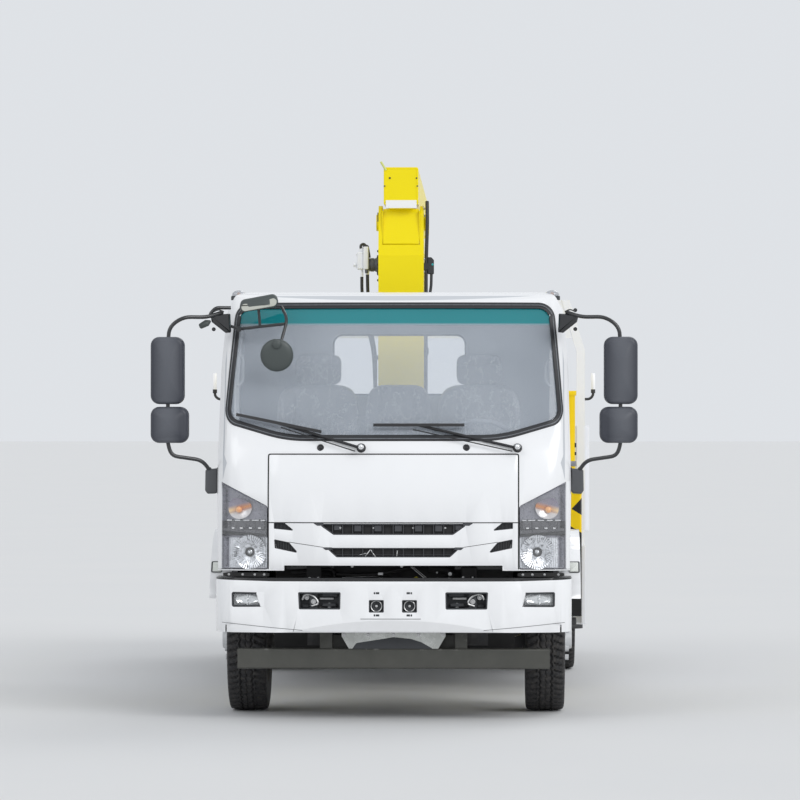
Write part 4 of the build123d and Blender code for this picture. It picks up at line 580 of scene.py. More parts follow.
for sign in (1, -1):
    fog = handed(FOG, sign)
    rims.append(frame_slab(inset(fog, 0.001), 0.008, -0.045, -0.002, bumper_face))
    lenses.append(slab(inset(fog, 0.010), -0.022, -0.014, bumper_face, 0.003))
    middle = fog.mean(0)
    dish_points, dish_faces = turned(FOG_DISH, on_face(bumper_face, *middle, -0.058), AHEAD, 28)
    dish_points[:, 0] = middle[0] + (dish_points[:, 0] - middle[0]) * FOG_DISH_STRETCH
    bowls.append((dish_points, dish_faces))
    bowls.append(turned([(0.0, 0.0), (0.0, 0.009), (0.022, 0.008), (0.028, 0.0)],
                        on_face(bumper_face, *middle, -0.056), AHEAD, 16))
    top, low = FOG_CORNERS[sign]
    fillers.append(slab(rounded([(sign * 0.7405, 0.7430, 0.002), (sign * top, 0.7430, 0.006),
                                 (sign * low, 0.6605, 0.003), (sign * 0.7405, 0.6605, 0.002)]),
                        -0.020, 0.0006, bumper_face, 0.0006))
    blacks.append(slab(inset(fog, 0.004), -0.072, -0.062, bumper_face))
    blacks.append(frame_slab(inset(handed(VENT, sign), 0.001), 0.007, -0.030, 0.001, bumper_face))
    blacks += panels(VENT_PANELS, bumper_face, sign)
    for x, z, deep in ((0.497, 0.713, -0.062), (0.367, 0.668, -0.062), (0.457, 0.690, -0.031)):
        steels += bolt(on_face(bumper_face, sign * x, z, deep), AHEAD, 0.016, 0.009)
    hook = bumper_face(*(np.array(TOW_HOOK) * (sign, 1)).T, np.full(len(TOW_HOOK), -0.024))
    steels.append(carried(ring(0.006, 8), smooth_path(hook, 0.02)))
    rung = np.array([(0.342, 0.707), (0.380, 0.707), (0.420, 0.707)]) * (sign, 1)
    steels.append(carried(ring(0.007, 8), bumper_face(*rung.T, np.full(3, -0.046))))
    port = rect(0.052, 0.629, 0.138, 0.701, 0.006, side=sign)
    blacks.append(frame_slab(inset(port, 0.0005), 0.006, -0.030, 0.0005, bumper_face))
    blacks.append(slab(inset(port, 0.002), -0.040, -0.034, bumper_face))
    centre = on_face(bumper_face, sign * 0.095, 0.665, -0.036)
    blacks.append(turned(SENSOR, centre, AHEAD, 32))
    steels.append(turned(SENSOR_RING, centre, AHEAD, 32))
    steels.append(turned([(0.014, 0.0), (0.014, 0.009), (0.019, 0.007), (0.021, 0.0)], centre, AHEAD, 16))
    blacks += panels([(x0, z - 0.006, x1, z + 0.006, 0.002, -0.004, 0.0006, 0.0005)
                      for z in (0.740, 0.613) for x0, x1 in ((0.078, 0.098), (0.101, 0.110))], bumper_face, sign)
piece("fog_lamp_corners", fillers, cab_white, "chassis")
piece("fog_lamp_rims", rims, dark_plastic, "chassis")
piece("fog_lamp_lenses", lenses, lens_clear, "chassis")
piece("fog_lamp_dishes", bowls, chrome, "chassis")
piece("bumper_insets", blacks, dark_plastic, "chassis")
piece("bumper_fittings", steels, bare_steel, "chassis")

# Under-run beam: a box section in dark grey-green paint, worn along its top edge, and a galvanised
# plate with five bolts that closes the middle of the bumper's underside.
beam_grey = painted("beam_grey", (0.050, 0.050, 0.043), 0.45, 0.9, 0.0006)
edge_wear = (beam_grey.noise(18, 5, 0.7) - 0.56).held() * 4 * beam_grey.z.rise(0.40, 0.412)
beam_grey.feed(Base_Color=beam_grey.mix(beam_grey.cloudy((0.045, 0.046, 0.040), (0.075, 0.075, 0.065), 9, 4),
                                        (0.30, 0.30, 0.28), edge_wear.held()))
dress(beam_grey, "underrun_beams", soften=0.006)
galvanised = Finish("galvanised", (0.52, 0.53, 0.52), 0.3, Metallic=1.0)
spangle = galvanised.node("ShaderNodeTexVoronoi", "Color", Vector=galvanised.place, Scale=70.0)
galvanised.feed(Base_Color=galvanised.cloudy((0.36, 0.37, 0.35), (0.60, 0.61, 0.59), 14, 4),
                Roughness=(0.22 + spangle * 0.2))


def straight_face(x, z, out):
    """A flat face across the truck, at y = -out."""
    return np.stack([x, -out + 0 * x, z], -1)


PLATE_Y = -NOSE_Y - 0.150
plate_shape = [(-0.250, 0.400, 0.01), (0.250, 0.400, 0.01), (0.300, 0.485, 0.008), (0.300, 0.508, 0.004),
               (-0.300, 0.508, 0.004), (-0.300, 0.485, 0.008)]
plate = slab(rounded(plate_shape), PLATE_Y - 0.012, PLATE_Y - 0.008, straight_face)
steels = []
for x in (-0.285, -0.145, 0.0, 0.145, 0.285):
    steels += bolt((x, -PLATE_Y + 0.008, 0.496), AHEAD, 0.014)
# The dark slab in the plate's recess is painted shade.
shaded_hollow = rounded([(-0.245, 0.404, 0.008), (0.245, 0.404, 0.008), (0.160, 0.452, 0.040), (0.100, 0.471, 0.030),
                  (0.000, 0.481, 0.030), (-0.060, 0.471, 0.040), (-0.215, 0.447, 0.020)])
piece("plate_hollow_shade", [slab(shaded_hollow, PLATE_Y - 0.008, PLATE_Y - 0.0065, straight_face, 0.0005)], dark_plastic,
      "chassis")
piece("galvanised_plate", [plate], galvanised, "chassis")
piece("plate_bolts", steels, bare_steel, "chassis")

# The cab's face: steel pressings in gloss white. Three raked planes, each bowed across, meet the
# doors in round corners; the hatch and the grille panel are shut over it with narrow dark gaps.
CAB_FACES = ((0.062, 1.100, 0.0), (0.062, 1.330, 10.0), (0.122, 1.609, 22.2))
CORNER_X = 0.876
CORNER_RADIUS = 0.15
CORNER_DEPTH = CAB_BOW - math.sqrt((CAB_BOW - CORNER_RADIUS) ** 2 - CORNER_X ** 2)
CORNER_TURN = math.asin(CORNER_X / (CAB_BOW - CORNER_RADIUS))
BOW_END = CAB_BOW * math.sin(CORNER_TURN)


def cab_round(u, z, out):
    """Cab's face by u, the way round from the middle: bow, then corner arc, then the straight side.

    Depth back from each raked plane is u's bow or arc; the hindmost plane at a height is the skin.
    """
    way = np.abs(u)
    turn = CORNER_TURN + np.clip((way - BOW_END) / CORNER_RADIUS, 0, math.pi / 2 - CORNER_TURN)
    past = np.maximum(way - BOW_END - CORNER_RADIUS * (math.pi / 2 - CORNER_TURN), 0)
    on_bow = way < BOW_END
    bow_turn = np.arcsin(np.minimum(way, BOW_END) / CAB_BOW)
    x = np.where(on_bow, (CAB_BOW + out) * np.sin(bow_turn), CORNER_X + (CORNER_RADIUS + out) * np.sin(turn))
    depth = np.where(on_bow, CAB_BOW - (CAB_BOW + out) * np.cos(bow_turn),
                     CORNER_DEPTH - (CORNER_RADIUS + out) * np.cos(turn) + past)
    side_limit = 1.010 + np.clip((z - 0.5) / 0.8, 0, 1) * 0.016 + out
    station = np.maximum.reduce([s + depth / math.cos(math.radians(rake)) + (z - height)
                                 * math.tan(math.radians(rake)) for s, height, rake in CAB_FACES])
    return np.stack([np.sign(u) * np.minimum(x, side_limit), NOSE_Y + station, z + 0 * u], -1)


def ribbon(points, width, low, high, place):
    """A flat strip along the (a, b) points, width wide, from depth low to high."""
    points = np.array(points, float)
    run = np.gradient(points, axis=0)
    run /= np.linalg.norm(run, axis=1)[:, None]
    across = np.stack([-run[:, 1], run[:, 0]], 1) * width / 2
    rows = [place(*(points + across).T, np.full(len(points), low)),
            place(*(points + across).T, np.full(len(points), high)),
            place(*(points - across).T, np.full(len(points), high)),
            place(*(points - across).T, np.full(len(points), low))]
    spots = np.stack(rows, 1).reshape(-1, 3)
    last = (len(points) - 1) * 4
    return spots, [net(len(points), 4, wrap_columns=True), np.array([3, 2, 1, 0]), np.arange(4) + last]


def straight(a, b, count=14):
    """Evenly spaced points from a to b."""
    t = np.linspace(0, 1, count)[:, None]
    return np.array(a) * (1 - t) + np.array(b) * t


def dense(outline, step=0.03):
    """Closed outline with extra points, evenly spaced between its own."""
    closed = np.vstack([outline, outline[:1]])
    length = np.concatenate([[0], np.cumsum(np.linalg.norm(np.diff(closed, axis=0), axis=1))])
    spots = np.unique(np.concatenate([length[:-1], np.arange(0, length[-1], step)]))
    return np.stack([np.interp(spots, length, closed[:, 0]), np.interp(spots, length, closed[:, 1])], 1)


def strip_slab(outline, low, high, place, columns=28, rows=8):
    """Closed plate that follows a curved face: columns across the outline, rows between its edges."""
    first, second = outline, np.roll(outline, -1, 0)
    reach = outline[:, 0].max() - outline[:, 0].min()
    a = np.linspace(outline[:, 0].min() + reach * 1e-4, outline[:, 0].max() - reach * 1e-4, columns)[:, None]
    run = np.where(np.abs(second[:, 0] - first[:, 0]) < 1e-9, 1e-9, second[:, 0] - first[:, 0])
    share = (a - first[:, 0]) / run
    height = first[:, 1] + share * (second[:, 1] - first[:, 1])
    crossed = (share >= 0) & (share <= 1)
    floor_ = np.where(crossed, height, 99).min(1)[:, None]
    top = np.where(crossed, height, -99).max(1)[:, None]
    level = np.linspace(0, 1, rows)[None, :]
    b = floor_ + (top - floor_) * np.concatenate([level, level[:, ::-1]], 1)
    out = np.concatenate([np.full((1, rows), high), np.full((1, rows), low)], 1) + 0 * b
    points = place((a + 0 * b).ravel(), b.ravel(), out.ravel())
    count = 2 * rows
    caps = np.stack([np.arange(rows - 1), np.arange(1, rows), count - 1 - np.arange(1, rows),
                     count - 1 - np.arange(rows - 1)], 1)
    return points, [net(columns, count, wrap_columns=True), caps, caps + (columns - 1) * count]


cab_paint = gloss_white("cab_shell_paint")
side_reach = cab_paint.beside + 0.087 * (cab_paint.z - 2.06).held(0, 9)
SCREEN_S, SCREEN_Z, SCREEN_RAKE = CAB_FACES[2]
screen_depth = cab_paint.y - NOSE_Y - (cab_paint.z - SCREEN_Z) * math.tan(math.radians(SCREEN_RAKE)) - SCREEN_S
bowed_depth = screen_depth - cab_paint.x * cab_paint.x / 11.1
inner = (side_reach.below(0.988) * cab_paint.z.below(2.462) * cab_paint.z.above(0.895)
         * cab_paint.y.below(NOSE_Y + 1.755) * bowed_depth.above(0.030)
         * (cab_paint.y - NOSE_Y - 0.108 - cab_paint.x * cab_paint.x / 12).above(0))
lined = cab_paint.mix(cab_paint.colour_so_far(), (0.56, 0.58, 0.61), inner)
# Below its floor the cab is painted near-black: painted shade under the cab and behind the bumper.
under = cab_paint.z.below(0.8970) * cab_paint.beside.below(0.930) * cab_paint.y.above(NOSE_Y + 0.160)
cab_paint.feed(Base_Color=cab_paint.mix(lined, (0.022, 0.022, 0.023), under),
               Coat_Weight=GLOSS_COAT * (1 - (inner + under).held()))
dress(cab_paint, "cab_shell", "door_left", "door_right", soften=0.004)
dress(cab_white, "front_panel", soften=0.004)
gap_black = plain("gap_black", (0.012, 0.012, 0.013), 0.7, 0.6, 0.2, 40, 2)
HATCH_EDGE = [(0.706, 1.536), (0.7195, 1.534), (0.7205, 1.515), (0.7205, 1.33), (0.7205, 1.15), (0.7205, 0.93),
              (0.7205, 0.874)]
BUMPER_CREASE = [(0.985, 0.570), (0.85, 0.556), (0.70, 0.541), (0.520, 0.526)]
gaps = [ribbon(straight((-0.706, 1.536), (0.706, 1.536), 40), 0.007, -0.006, 0.0006, cab_round),
        ribbon(straight((-0.72, 1.142), (0.72, 1.142), 40), 0.0055, -0.006, 0.0006, cab_round)]
for sign in (1, -1):
    gaps.append(ribbon(smooth_path(np.array(HATCH_EDGE) * (sign, 1), 0.010), 0.0075, -0.006, 0.0006, cab_round))
    gaps.append(ribbon(straight((sign * 0.600, 1.030), (sign * 0.405, 1.001)), 0.003, -0.003, 0.0005, cab_round))
piece("panel_gaps", gaps, gap_black, "cab")
crease_grey = plain("crease_grey", (0.20, 0.20, 0.21), 0.5, 0.45, 0.15, 40, 2)
creases = [ribbon(straight((-0.186, 0.592), (0.160, 0.592), 20), 0.004, -0.001, 0.0008, bumper_face)]
for sign in (1, -1):
    creases.append(ribbon(smooth_path(np.array(BUMPER_CREASE) * (sign, 1), 0.1), 0.0035, -0.001, 0.0008, bumper_face))
piece("bumper_creases", creases, crease_grey, "chassis")

# Headlamps: a deep housing in grey plastic behind a clear moulded lens. Below sits the round fluted
# dish of the main lamp, above it the row of four square cells and the amber turn lamp.
LAMP_IN = 0.726
LAMP_OUT = 1.0134
lamp_grey = plain("lamp_housing", (0.24, 0.245, 0.26), 0.32, 0.28, 0.15, 40, 2, Metallic=0.35)
cup_grey = Finish("lamp_cup", (0.24, 0.245, 0.26), 0.25, Metallic=0.3)
cup_z, cup_x = cup_grey.z, cup_grey.beside
silvered_part = cup_z.below(1.056) * cup_x.below(0.950) * cup_z.above(0.882)
lines = ((cup_x * 90).wrap(1.0) - 0.5).size().rise(0.30, 0.42) * cup_grey.noise(30, 1).rise(0.3, 0.6)
cup_tone = cup_grey.mix(cup_grey.mix((0.25, 0.25, 0.29), (0.10, 0.10, 0.11), cup_z.above(1.066) * cup_z.below(1.151)),
                        cup_grey.mix((0.78, 0.80, 0.84), (0.20, 0.20, 0.22), lines * 0.8), silvered_part)
cup_grey.feed(Base_Color=cup_tone, Roughness=0.22 + cup_grey.noise(40, 2) * 0.12)
amber_bulb = Finish("amber_bulb", (0.80, 0.30, 0.04), 0.15, Coat_Weight=1.0)
amber_bulb.feed(Base_Color=amber_bulb.cloudy((0.85, 0.22, 0.02), (0.90, 0.55, 0.20), 30, 2))
SPOKES = 44
dish_chrome = Finish("dish_chrome", (0.75, 0.77, 0.80), 0.12, Metallic=0.85)
round_x = dish_chrome.beside - 0.830
round_z = dish_chrome.z - 0.972
spoke = round_z.angle(round_x) * (SPOKES / (2 * math.pi))
reach = (round_x * round_x + round_z * round_z).root()
flutes = (spoke.wrap(1.0) - 0.5).size().rise(0.20, 0.34) * reach.rise(0.026, 0.036)
flutes = flutes * dish_chrome.noise(30, 1).rise(0.36, 0.56)
rings = ((reach * 62).wrap(1.0) - 0.5).size().rise(0.38, 0.5)
specks = (dish_chrome.noise(60, 2) - 0.55).held()
shadow = flutes * 0.55 + rings * 0.30 + (1 - reach.rise(0.022, 0.030)) * 0.75 + specks * 3.5
dish_chrome.feed(Base_Color=dish_chrome.mix((0.80, 0.82, 0.86), (0.055, 0.058, 0.065), shadow.held()))
amber_dish = Finish("amber_dish", (0.80, 0.40, 0.12), 0.18, Metallic=0.35)
# Painted reflections: a slanting amber streak of the bulb across the grey bowl, the bowl lighter below it and the
# amber lighter towards the outer edge.
reflection_height = amber_dish.z - 1.222 + (amber_dish.beside - 0.893) * 0.25
bulb_reflection = 1 - (reflection_height.size() * 38).held()
outer = (amber_dish.beside - 0.893).rise(-0.010, 0.060)
grey_part = amber_dish.mix((0.26, 0.24, 0.31), (0.62, 0.61, 0.62), reflection_height.below(-0.016))
amber_part = amber_dish.mix((0.66, 0.25, 0.05), (0.88, 0.66, 0.36), outer)
amber_dish.feed(Base_Color=amber_dish.mix(grey_part, amber_part, bulb_reflection))
lens_front = Finish("lens_front", (0.90, 0.92, 0.94), 0.04, Alpha=0.06, Coat_Weight=1.0)
lens_front.feed(Alpha=0.04 + lens_front.noise(14, 2) * 0.05)
DISH_U, DISH_Z, DISH_R = 0.832, 0.972, 0.099


def fluted_dish(centre, radius, flutes, rings, steps=192):
    """Disc of rings about the centre: depth falls as a parabola to the bulb and each flute is a cosine wave."""
    level = np.linspace(0.14, 1, rings)[:, None]
    angle = (np.arange(steps) / steps * 2 * np.pi)[None, :]
    wave = 0.0022 * np.abs(np.cos(angle * flutes / 2)) * level + 0.0012 * np.abs(np.cos(level * 22)) * level
    out = -0.034 + 0.026 * level ** 2 - wave
    u = centre[0] + radius * level * np.cos(angle)
    z = centre[1] + radius * level * np.sin(angle) + 0 * out
    return cab_round(u, z, out).reshape(-1, 3), [net(rings, steps, wrap_columns=True)]


LAMP_SHAPE = [(LAMP_IN, 0.875, 0.010), (LAMP_OUT, 0.875, 0.010), (LAMP_OUT, 1.377, 0.012),
              (LAMP_IN, 1.2365, 0.020)]
BULB_SHIELD = [(-0.002, 0.014), (0.003, 0.016), (0.003, 0.027), (-0.003, 0.029)]
TURN_BULB = [(0.0, 0.0), (0.0, 0.014), (0.010, 0.019), (0.018, 0.016), (0.024, 0.008), (0.026, 0.0)]
TURN_U, TURN_Z = 0.893, 1.226
CELL_COUNT = 4
CELL_STEP = 0.0535
CORNER_PANEL = [(LAMP_OUT + 0.002, 0.8735, 0.004), (1.1600, 0.8735, 0.004), (1.1600, 1.3940, 0.004),
                (LAMP_OUT + 0.06, 1.3900, 0.02), (LAMP_OUT + 0.002, 1.3790, 0.004)]


def turn_bowl(sign, rings=12, steps=48):
    """Bowl behind the turn lamp: a parabola in depth, its circle drawn in above and towards the middle."""
    level = np.linspace(0.02, 1, rings)[:, None]
    angle = (np.arange(steps) / steps * 2 * np.pi)[None, :]
    reach = np.minimum(1.0, 1.45 - 0.62 * np.maximum(np.sin(angle) - 0.35 * sign * np.cos(angle), 0))
    u = sign * TURN_U + 0.074 * level * np.cos(angle) * reach
    z = TURN_Z + 0.064 * level * np.sin(angle) * reach
    points = cab_round(u, z, -0.035 + 0.020 * level ** 2 + 0 * angle).reshape(-1, 3)
    return points, [net(rings, steps, wrap_columns=True)]


housing, dishes, ambers, covers, darks, whites, cells, amber_bowls = [], [], [], [], [], [], [], []
# Bars across the lamp: list, distances from its inner and outer edge, four heights, radius, depths, chamfer.
LAMP_BARS = [(darks, 0.003, 0.005, (1.0625, 1.0715, 1.092, 1.0725), 0.002, -0.036, -0.006, 0.001),
             (housing, 0.004, 0.006, (1.0740, 1.0925, 1.1100, 1.0980), 0.002, -0.036, -0.009, 0.002),
             (housing, 0.020, 0.030, (1.104, 1.104, 1.150, 1.150), 0.003, -0.036, -0.022, 0.001),
             (cells, 0.016, 0.028, (1.150, 1.150, 1.159, 1.159), 0.002, -0.034, -0.016, 0.002)]
for sign in (1, -1):
    outline = handed(LAMP_SHAPE, sign)
    housing.append(strip_slab(inset(outline, 0.004), -0.0390, -0.0365, cab_round))
    housing.append(frame_slab(inset(outline, 0.0015), 0.0035, -0.038, -0.0035, cab_round, 0.0006))
    covers.append(strip_slab(inset(outline, 0.003), -0.0034, -0.0006, cab_round, 30, 12))
    dishes.append(fluted_dish((sign * DISH_U, DISH_Z), DISH_R, 40, 16))
    housing.append(frame_slab(rect(LAMP_IN + 0.004, 0.881, LAMP_OUT - 0.008, 1.060, 0.012, side=sign),
                              0.004, -0.037, -0.010, cab_round))
    for level, size in ((-0.030, 0.014), (-0.018, 0.010)):
        cells.append(turned([(-0.004, 0.0), (-0.004, size), (0.004, size * 0.9), (0.009, size * 0.5), (0.010, 0.0)],
                            on_face(cab_round, sign * DISH_U, DISH_Z, level), AHEAD, 24))
    darks.append(turned(BULB_SHIELD, on_face(cab_round, sign * DISH_U, DISH_Z, -0.031), AHEAD, 32))
    for parts, near, far, (z0, z1, z2, z3), bend, low, high, chamfer in LAMP_BARS:
        bar = [(LAMP_IN + near, z0, bend), (LAMP_OUT - far, z1, bend), (LAMP_OUT - far, z2, bend),
               (LAMP_IN + near, z3, bend)]
        parts.append(slab(handed(bar, sign), low, high, cab_round, chamfer))
    for cell in range(CELL_COUNT):
        at = LAMP_IN + 0.048 + cell * CELL_STEP
        cells.append(slab(rect(at - 0.009, 1.1045, at + 0.009, 1.1145, 0.003, side=sign), -0.023, -0.016, cab_round))
        darks.append(slab(handed([(at - 0.006, 1.1525, 0.002), (at + 0.006, 1.1525, 0.002),
                                  (at + 0.004, 1.1600, 0.002), (at - 0.004, 1.1600, 0.002)], sign), -0.020, -0.0145,
                          cab_round, 0.0005))
        edge = sign * (at + 0.0265)
        darks.append(ribbon(straight((edge, 1.106), (edge, 1.149), 4), 0.0022, -0.023, -0.0212, cab_round))
    amber_bowls.append(turn_bowl(sign))
    ambers.append(turned(TURN_BULB, on_face(cab_round, sign * TURN_U + sign * 0.004, 1.216, -0.033), AHEAD, 28))
    whites.append(strip_slab(handed(CORNER_PANEL, sign), -0.030, -0.0005, cab_round, 24, 12))
piece("headlamp_housings", housing, cup_grey, "cab")
piece("headlamp_dividers", darks, gap_black, "cab")
piece("headlamp_cells", cells, chrome, "cab")
piece("headlamp_dishes", dishes, dish_chrome, "cab", 20)
piece("turn_lamp_bowls", amber_bowls, amber_dish, "cab", 40)
piece("turn_bulbs", ambers, amber_bulb, "cab", 60)
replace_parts(piece("headlamp_lenses", covers, lens_front, "cab"), "cab_lamps")
piece("corner_panels", whites, cab_white, "cab", 30)

# Roof marker lamps and side repeaters: domed clear lenses on small dark feet.
ROOF_FOOT = [(0.0, 0.0), (0.0, 0.046), (0.022, 0.046), (0.025, 0.040), (0.025, 0.0)]
ROOF_DOME = [(0.024, 0.0), (0.024, 0.041), (0.034, 0.041), (0.045, 0.036), (0.054, 0.024), (0.058, 0.010),
             (0.0585, 0.0)]
ROOF_CORE = [(0.024, 0.0), (0.024, 0.012), (0.040, 0.012), (0.046, 0.006), (0.047, 0.0)]
FLARE_RADIUS = 0.654


def flare_face(x, z, out):
    """The arch flare's front: an arc about the wheel, carried out by out."""
    return np.stack([x, FRONT_AXLE[0] - np.sqrt((FLARE_RADIUS + out) ** 2 - (z - FRONT_AXLE[1]) ** 2), z], -1)


roof_feet, roof_domes, roof_cores, repeaters, repeater_feet = [], [], [], [], []
for sign in (1, -1):
    top = (sign * 0.922, NOSE_Y + 0.640, 2.440)
    roof_feet.append(turned(ROOF_FOOT, top, UP, 32))
    roof_domes.append(turned(ROOF_DOME, top, UP, 32))
    roof_cores.append(turned(ROOF_CORE, top, UP, 16))
    shape = rect(1.019, 0.839, 1.083, 0.903, 0.008, side=sign)
    repeater_feet.append(slab(shape, -0.002, 0.004, flare_face))
    repeaters.append(slab(inset(shape - (sign * 0.004, 0), 0.005), 0.003, 0.0135, flare_face, 0.004))
piece("roof_lamp_feet", roof_feet, dark_plastic, "cab")
piece("roof_lamp_cores", roof_cores, amber_bulb, "cab")
dome_clear = Finish("dome_clear", (0.46, 0.48, 0.52), 0.08, Alpha=0.55, Coat_Weight=1.0)
dome_clear.feed(Alpha=0.50 + dome_clear.noise(40, 2) * 0.2)
piece("roof_lamp_domes", roof_domes, dome_clear, "cab", 50)
pale_lens = Finish("pale_lens", (0.74, 0.76, 0.72), 0.12, Coat_Weight=1.0)
pale_lens.feed(Base_Color=pale_lens.cloudy((0.66, 0.69, 0.64), (0.82, 0.84, 0.80), 40, 3))
pale_lens.bump((pale_lens.z * 160).wrap(1.0).rise(0.3, 0.7), 0.0008, 0.6)
piece("repeater_feet", repeater_feet, dark_plastic, "cab")
piece("repeater_lenses", repeaters, pale_lens, "cab", 50)

# Grille: black moulded inserts behind the panel's slots. The upper slot shows shallow cells with
# screws, the lower one an open lattice, and the side slits a fine mesh of slanting bars.
UPPER_SLOT = [(0.344, 1.072, 0.012), (0.436, 1.137, 0.010), (-0.436, 1.137, 0.010), (-0.344, 1.072, 0.012)]
LOWER_SLOT = [(0.326, 0.943, 0.012), (0.387, 0.998, 0.010), (-0.387, 0.998, 0.010), (-0.326, 0.943, 0.012)]
UPPER_SLIT = [(0.569, 1.095, 0.004), (0.688, 1.107, 0.004), (0.688, 1.141, 0.004), (0.626, 1.141, 0.008)]
LOWER_SLIT = [(0.545, 0.966, 0.006), (0.683, 0.995, 0.004), (0.686, 1.046, 0.004), (0.600, 1.029, 0.008)]
grille_black = plain("grille_black", (0.052, 0.054, 0.060), 0.45, 0.36, 0.2, 30, 3)
grille_black.grain(900, 0.0002, 0.3)
SLOT_TIPS = [[(0.400, 1.126, 0.001), (0.400, 1.1395, 0.001), (0.460, 1.1395, 0.001), (0.437, 1.1245, 0.003)],
             [(0.352, 0.986, 0.001), (0.352, 1.0005, 0.001), (0.408, 1.0005, 0.001), (0.390, 0.985, 0.003)]]
BAR_STEP = 0.0583
MESH_BARS = 14
# Rods seen through the lower slot, by both ends.
RODS = [((-0.16, 0.949), (-0.13, 0.990)), ((-0.128, 0.985), (-0.105, 0.948)), ((0.02, 0.950), (0.024, 0.982)),
        ((-0.20, 0.955), (-0.155, 0.966))]
bars, backs, shine = [], [], []
for slot, ring_width in ((UPPER_SLOT, 0.006), (LOWER_SLOT, 0.005)):
    shape = rounded(slot)
    bars.append(frame_slab(dense(inset(shape, 0.0006)), ring_width, -0.026, -0.004, cab_round))
    backs.append(strip_slab(inset(shape, 0.001), -0.0258, -0.0235, cab_round, 40, 3))
bars += [strip_slab(handed(tip, sign), -0.001, 0.0011, cab_round, 12, 2) for sign in (1, -1) for tip in SLOT_TIPS]
for index in range(-7, 8):
    x = index * BAR_STEP
    low = 1.079 + max(0, abs(x) - 0.34) * 0.70
    if abs(x) < 0.42:
        bars.append(ribbon(straight((x, low), (x, 1.131), 4), 0.0045, -0.024, -0.010, cab_round))
    if abs(x) < 0.36 and index % 2 == 0:
        cell = rect(x - 0.0215, low + 0.012, x + 0.0215, 1.128, 0.003) + (0.029, 0)
        bars.append(slab(cell, -0.024, -0.014, cab_round, 0.002))
    low = 0.949 + max(0, abs(x) - 0.315) * 0.9
    if abs(x) < 0.37:
        bars.append(ribbon(straight((x, low), (x, 0.993), 4), 0.0038, -0.024, -0.008, cab_round))
for x, z, width, low, high in ((0.335, 0.957, 0.0028, -0.022, -0.010), (0.425, 1.1315, 0.005, -0.024, -0.007)):
    bars.append(ribbon(straight((-x, z), (x, z), 30), width, low, high, cab_round))
for x in (-0.305, -0.115, 0.115, 0.300):
    shine += bolt(on_face(cab_round, x, 1.112, -0.013), AHEAD, 0.006, 0.003)
for first, last in RODS:
    shine.append(carried(ring(0.0035, 8), cab_round(*straight(first, last, 6).T, np.full(6, -0.019))))
for sign in (1, -1):
    for slit in (UPPER_SLIT, LOWER_SLIT):
        shape = handed(slit, sign)
        backs.append(strip_slab(inset(shape, 0.001), -0.0256, -0.017, cab_round, 10, 3))
        bars.append(frame_slab(inset(shape, 0.0005), 0.003, -0.0256, -0.003, cab_round))
        low, high = shape.min(0), shape.max(0)
        for step in range(MESH_BARS):
            x = low[0] + (step + 0.5) / MESH_BARS * (high[0] - low[0])
            edges = [a[1] + (x - a[0]) / (b[0] - a[0]) * (b[1] - a[1])
                     for a, b in zip(shape, np.roll(shape, -1, 0)) if (a[0] - x) * (b[0] - x) < 0]
            if len(edges) == 2 and max(edges) - min(edges) > 0.010:
                bars.append(ribbon(straight((x, min(edges) + 0.002), (x, max(edges) - 0.002), 3), 0.0028,
                                   -0.018, -0.0125, cab_round))
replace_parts(piece("grille_bars", bars, grille_black, "cab"), "grille")
piece("grille_backs", backs, gap_black, "cab")
piece("grille_fittings", shine, bare_steel, "cab")

# Glazing: laminated windscreen with a green shade band along its top, held in a thick black
# rubber seal; the door and rear windows are plain tempered glass in thinner seals.
# The glass's pale blue-grey colour, lighter in clouds, is a painted reflection of the sky; the same clouds vary how
# clear it is.
glass = Finish("glass", (0.50, 0.56, 0.63), 0.03, Alpha=0.5, Coat_Weight=0.6)
shade = glass.z.rise(2.283, 2.300) * (0 - glass.y).above(3.0)
sky_reflection_cloud = glass.noise(1.6, 3)
glass.feed(Base_Color=glass.mix(glass.mix((0.58, 0.65, 0.74), (0.74, 0.80, 0.88), sky_reflection_cloud), (0.010, 0.250, 0.280),
                                shade), Alpha=(0.22 + sky_reflection_cloud * 0.12 + shade * 0.55).held()
           * (1 - glass.y.above(NOSE_Y + 1.600) * 0.65))
dress(glass, "cab_glass", "door_glass_left", "door_glass_right")
seal_rubber = plain("seal_rubber", (0.020, 0.021, 0.024), 0.42, 0.36, 0.2, 50, 3)
SEAL = [(0.62, 1.611, 0.80), (0.999, 1.722, 0.10), (0.930, 2.421, 0.10), (-0.930, 2.421, 0.10), (-0.999, 1.722, 0.10),
        (-0.62, 1.611, 0.80)]
seal_line = dense(rounded(SEAL, 9))
lip = inset(seal_line, 0.014)
seals = [frame_slab(seal_line, 0.016, -0.014, 0.0045, cab_round, 0.004),
         frame_slab(lip, 0.022, -0.014, 0.0015, cab_round, 0.003)]
strip = plain("seal_strip", (0.16, 0.17, 0.185), 0.25, 0.2, 0.15, 30, 2)


def side_face(s, z, out):
    """The cab's sides by station and height: they lean in above the waist."""
    half = np.interp(z, [0.5, 1.3, 2.06, 2.37], [1.010, 1.026, 1.012, 0.985])
    return np.stack([half + out, NOSE_Y + s, z], -1)


def right_face(s, z, out):
    """The same face on the truck's right."""
    return side_face(s, z, out) * (-1, 1, 1)


def rear_face(x, z, out):
    """The cab's flat back wall."""
    return np.stack([x, NOSE_Y + 1.780 + out + 0 * x, z], -1)


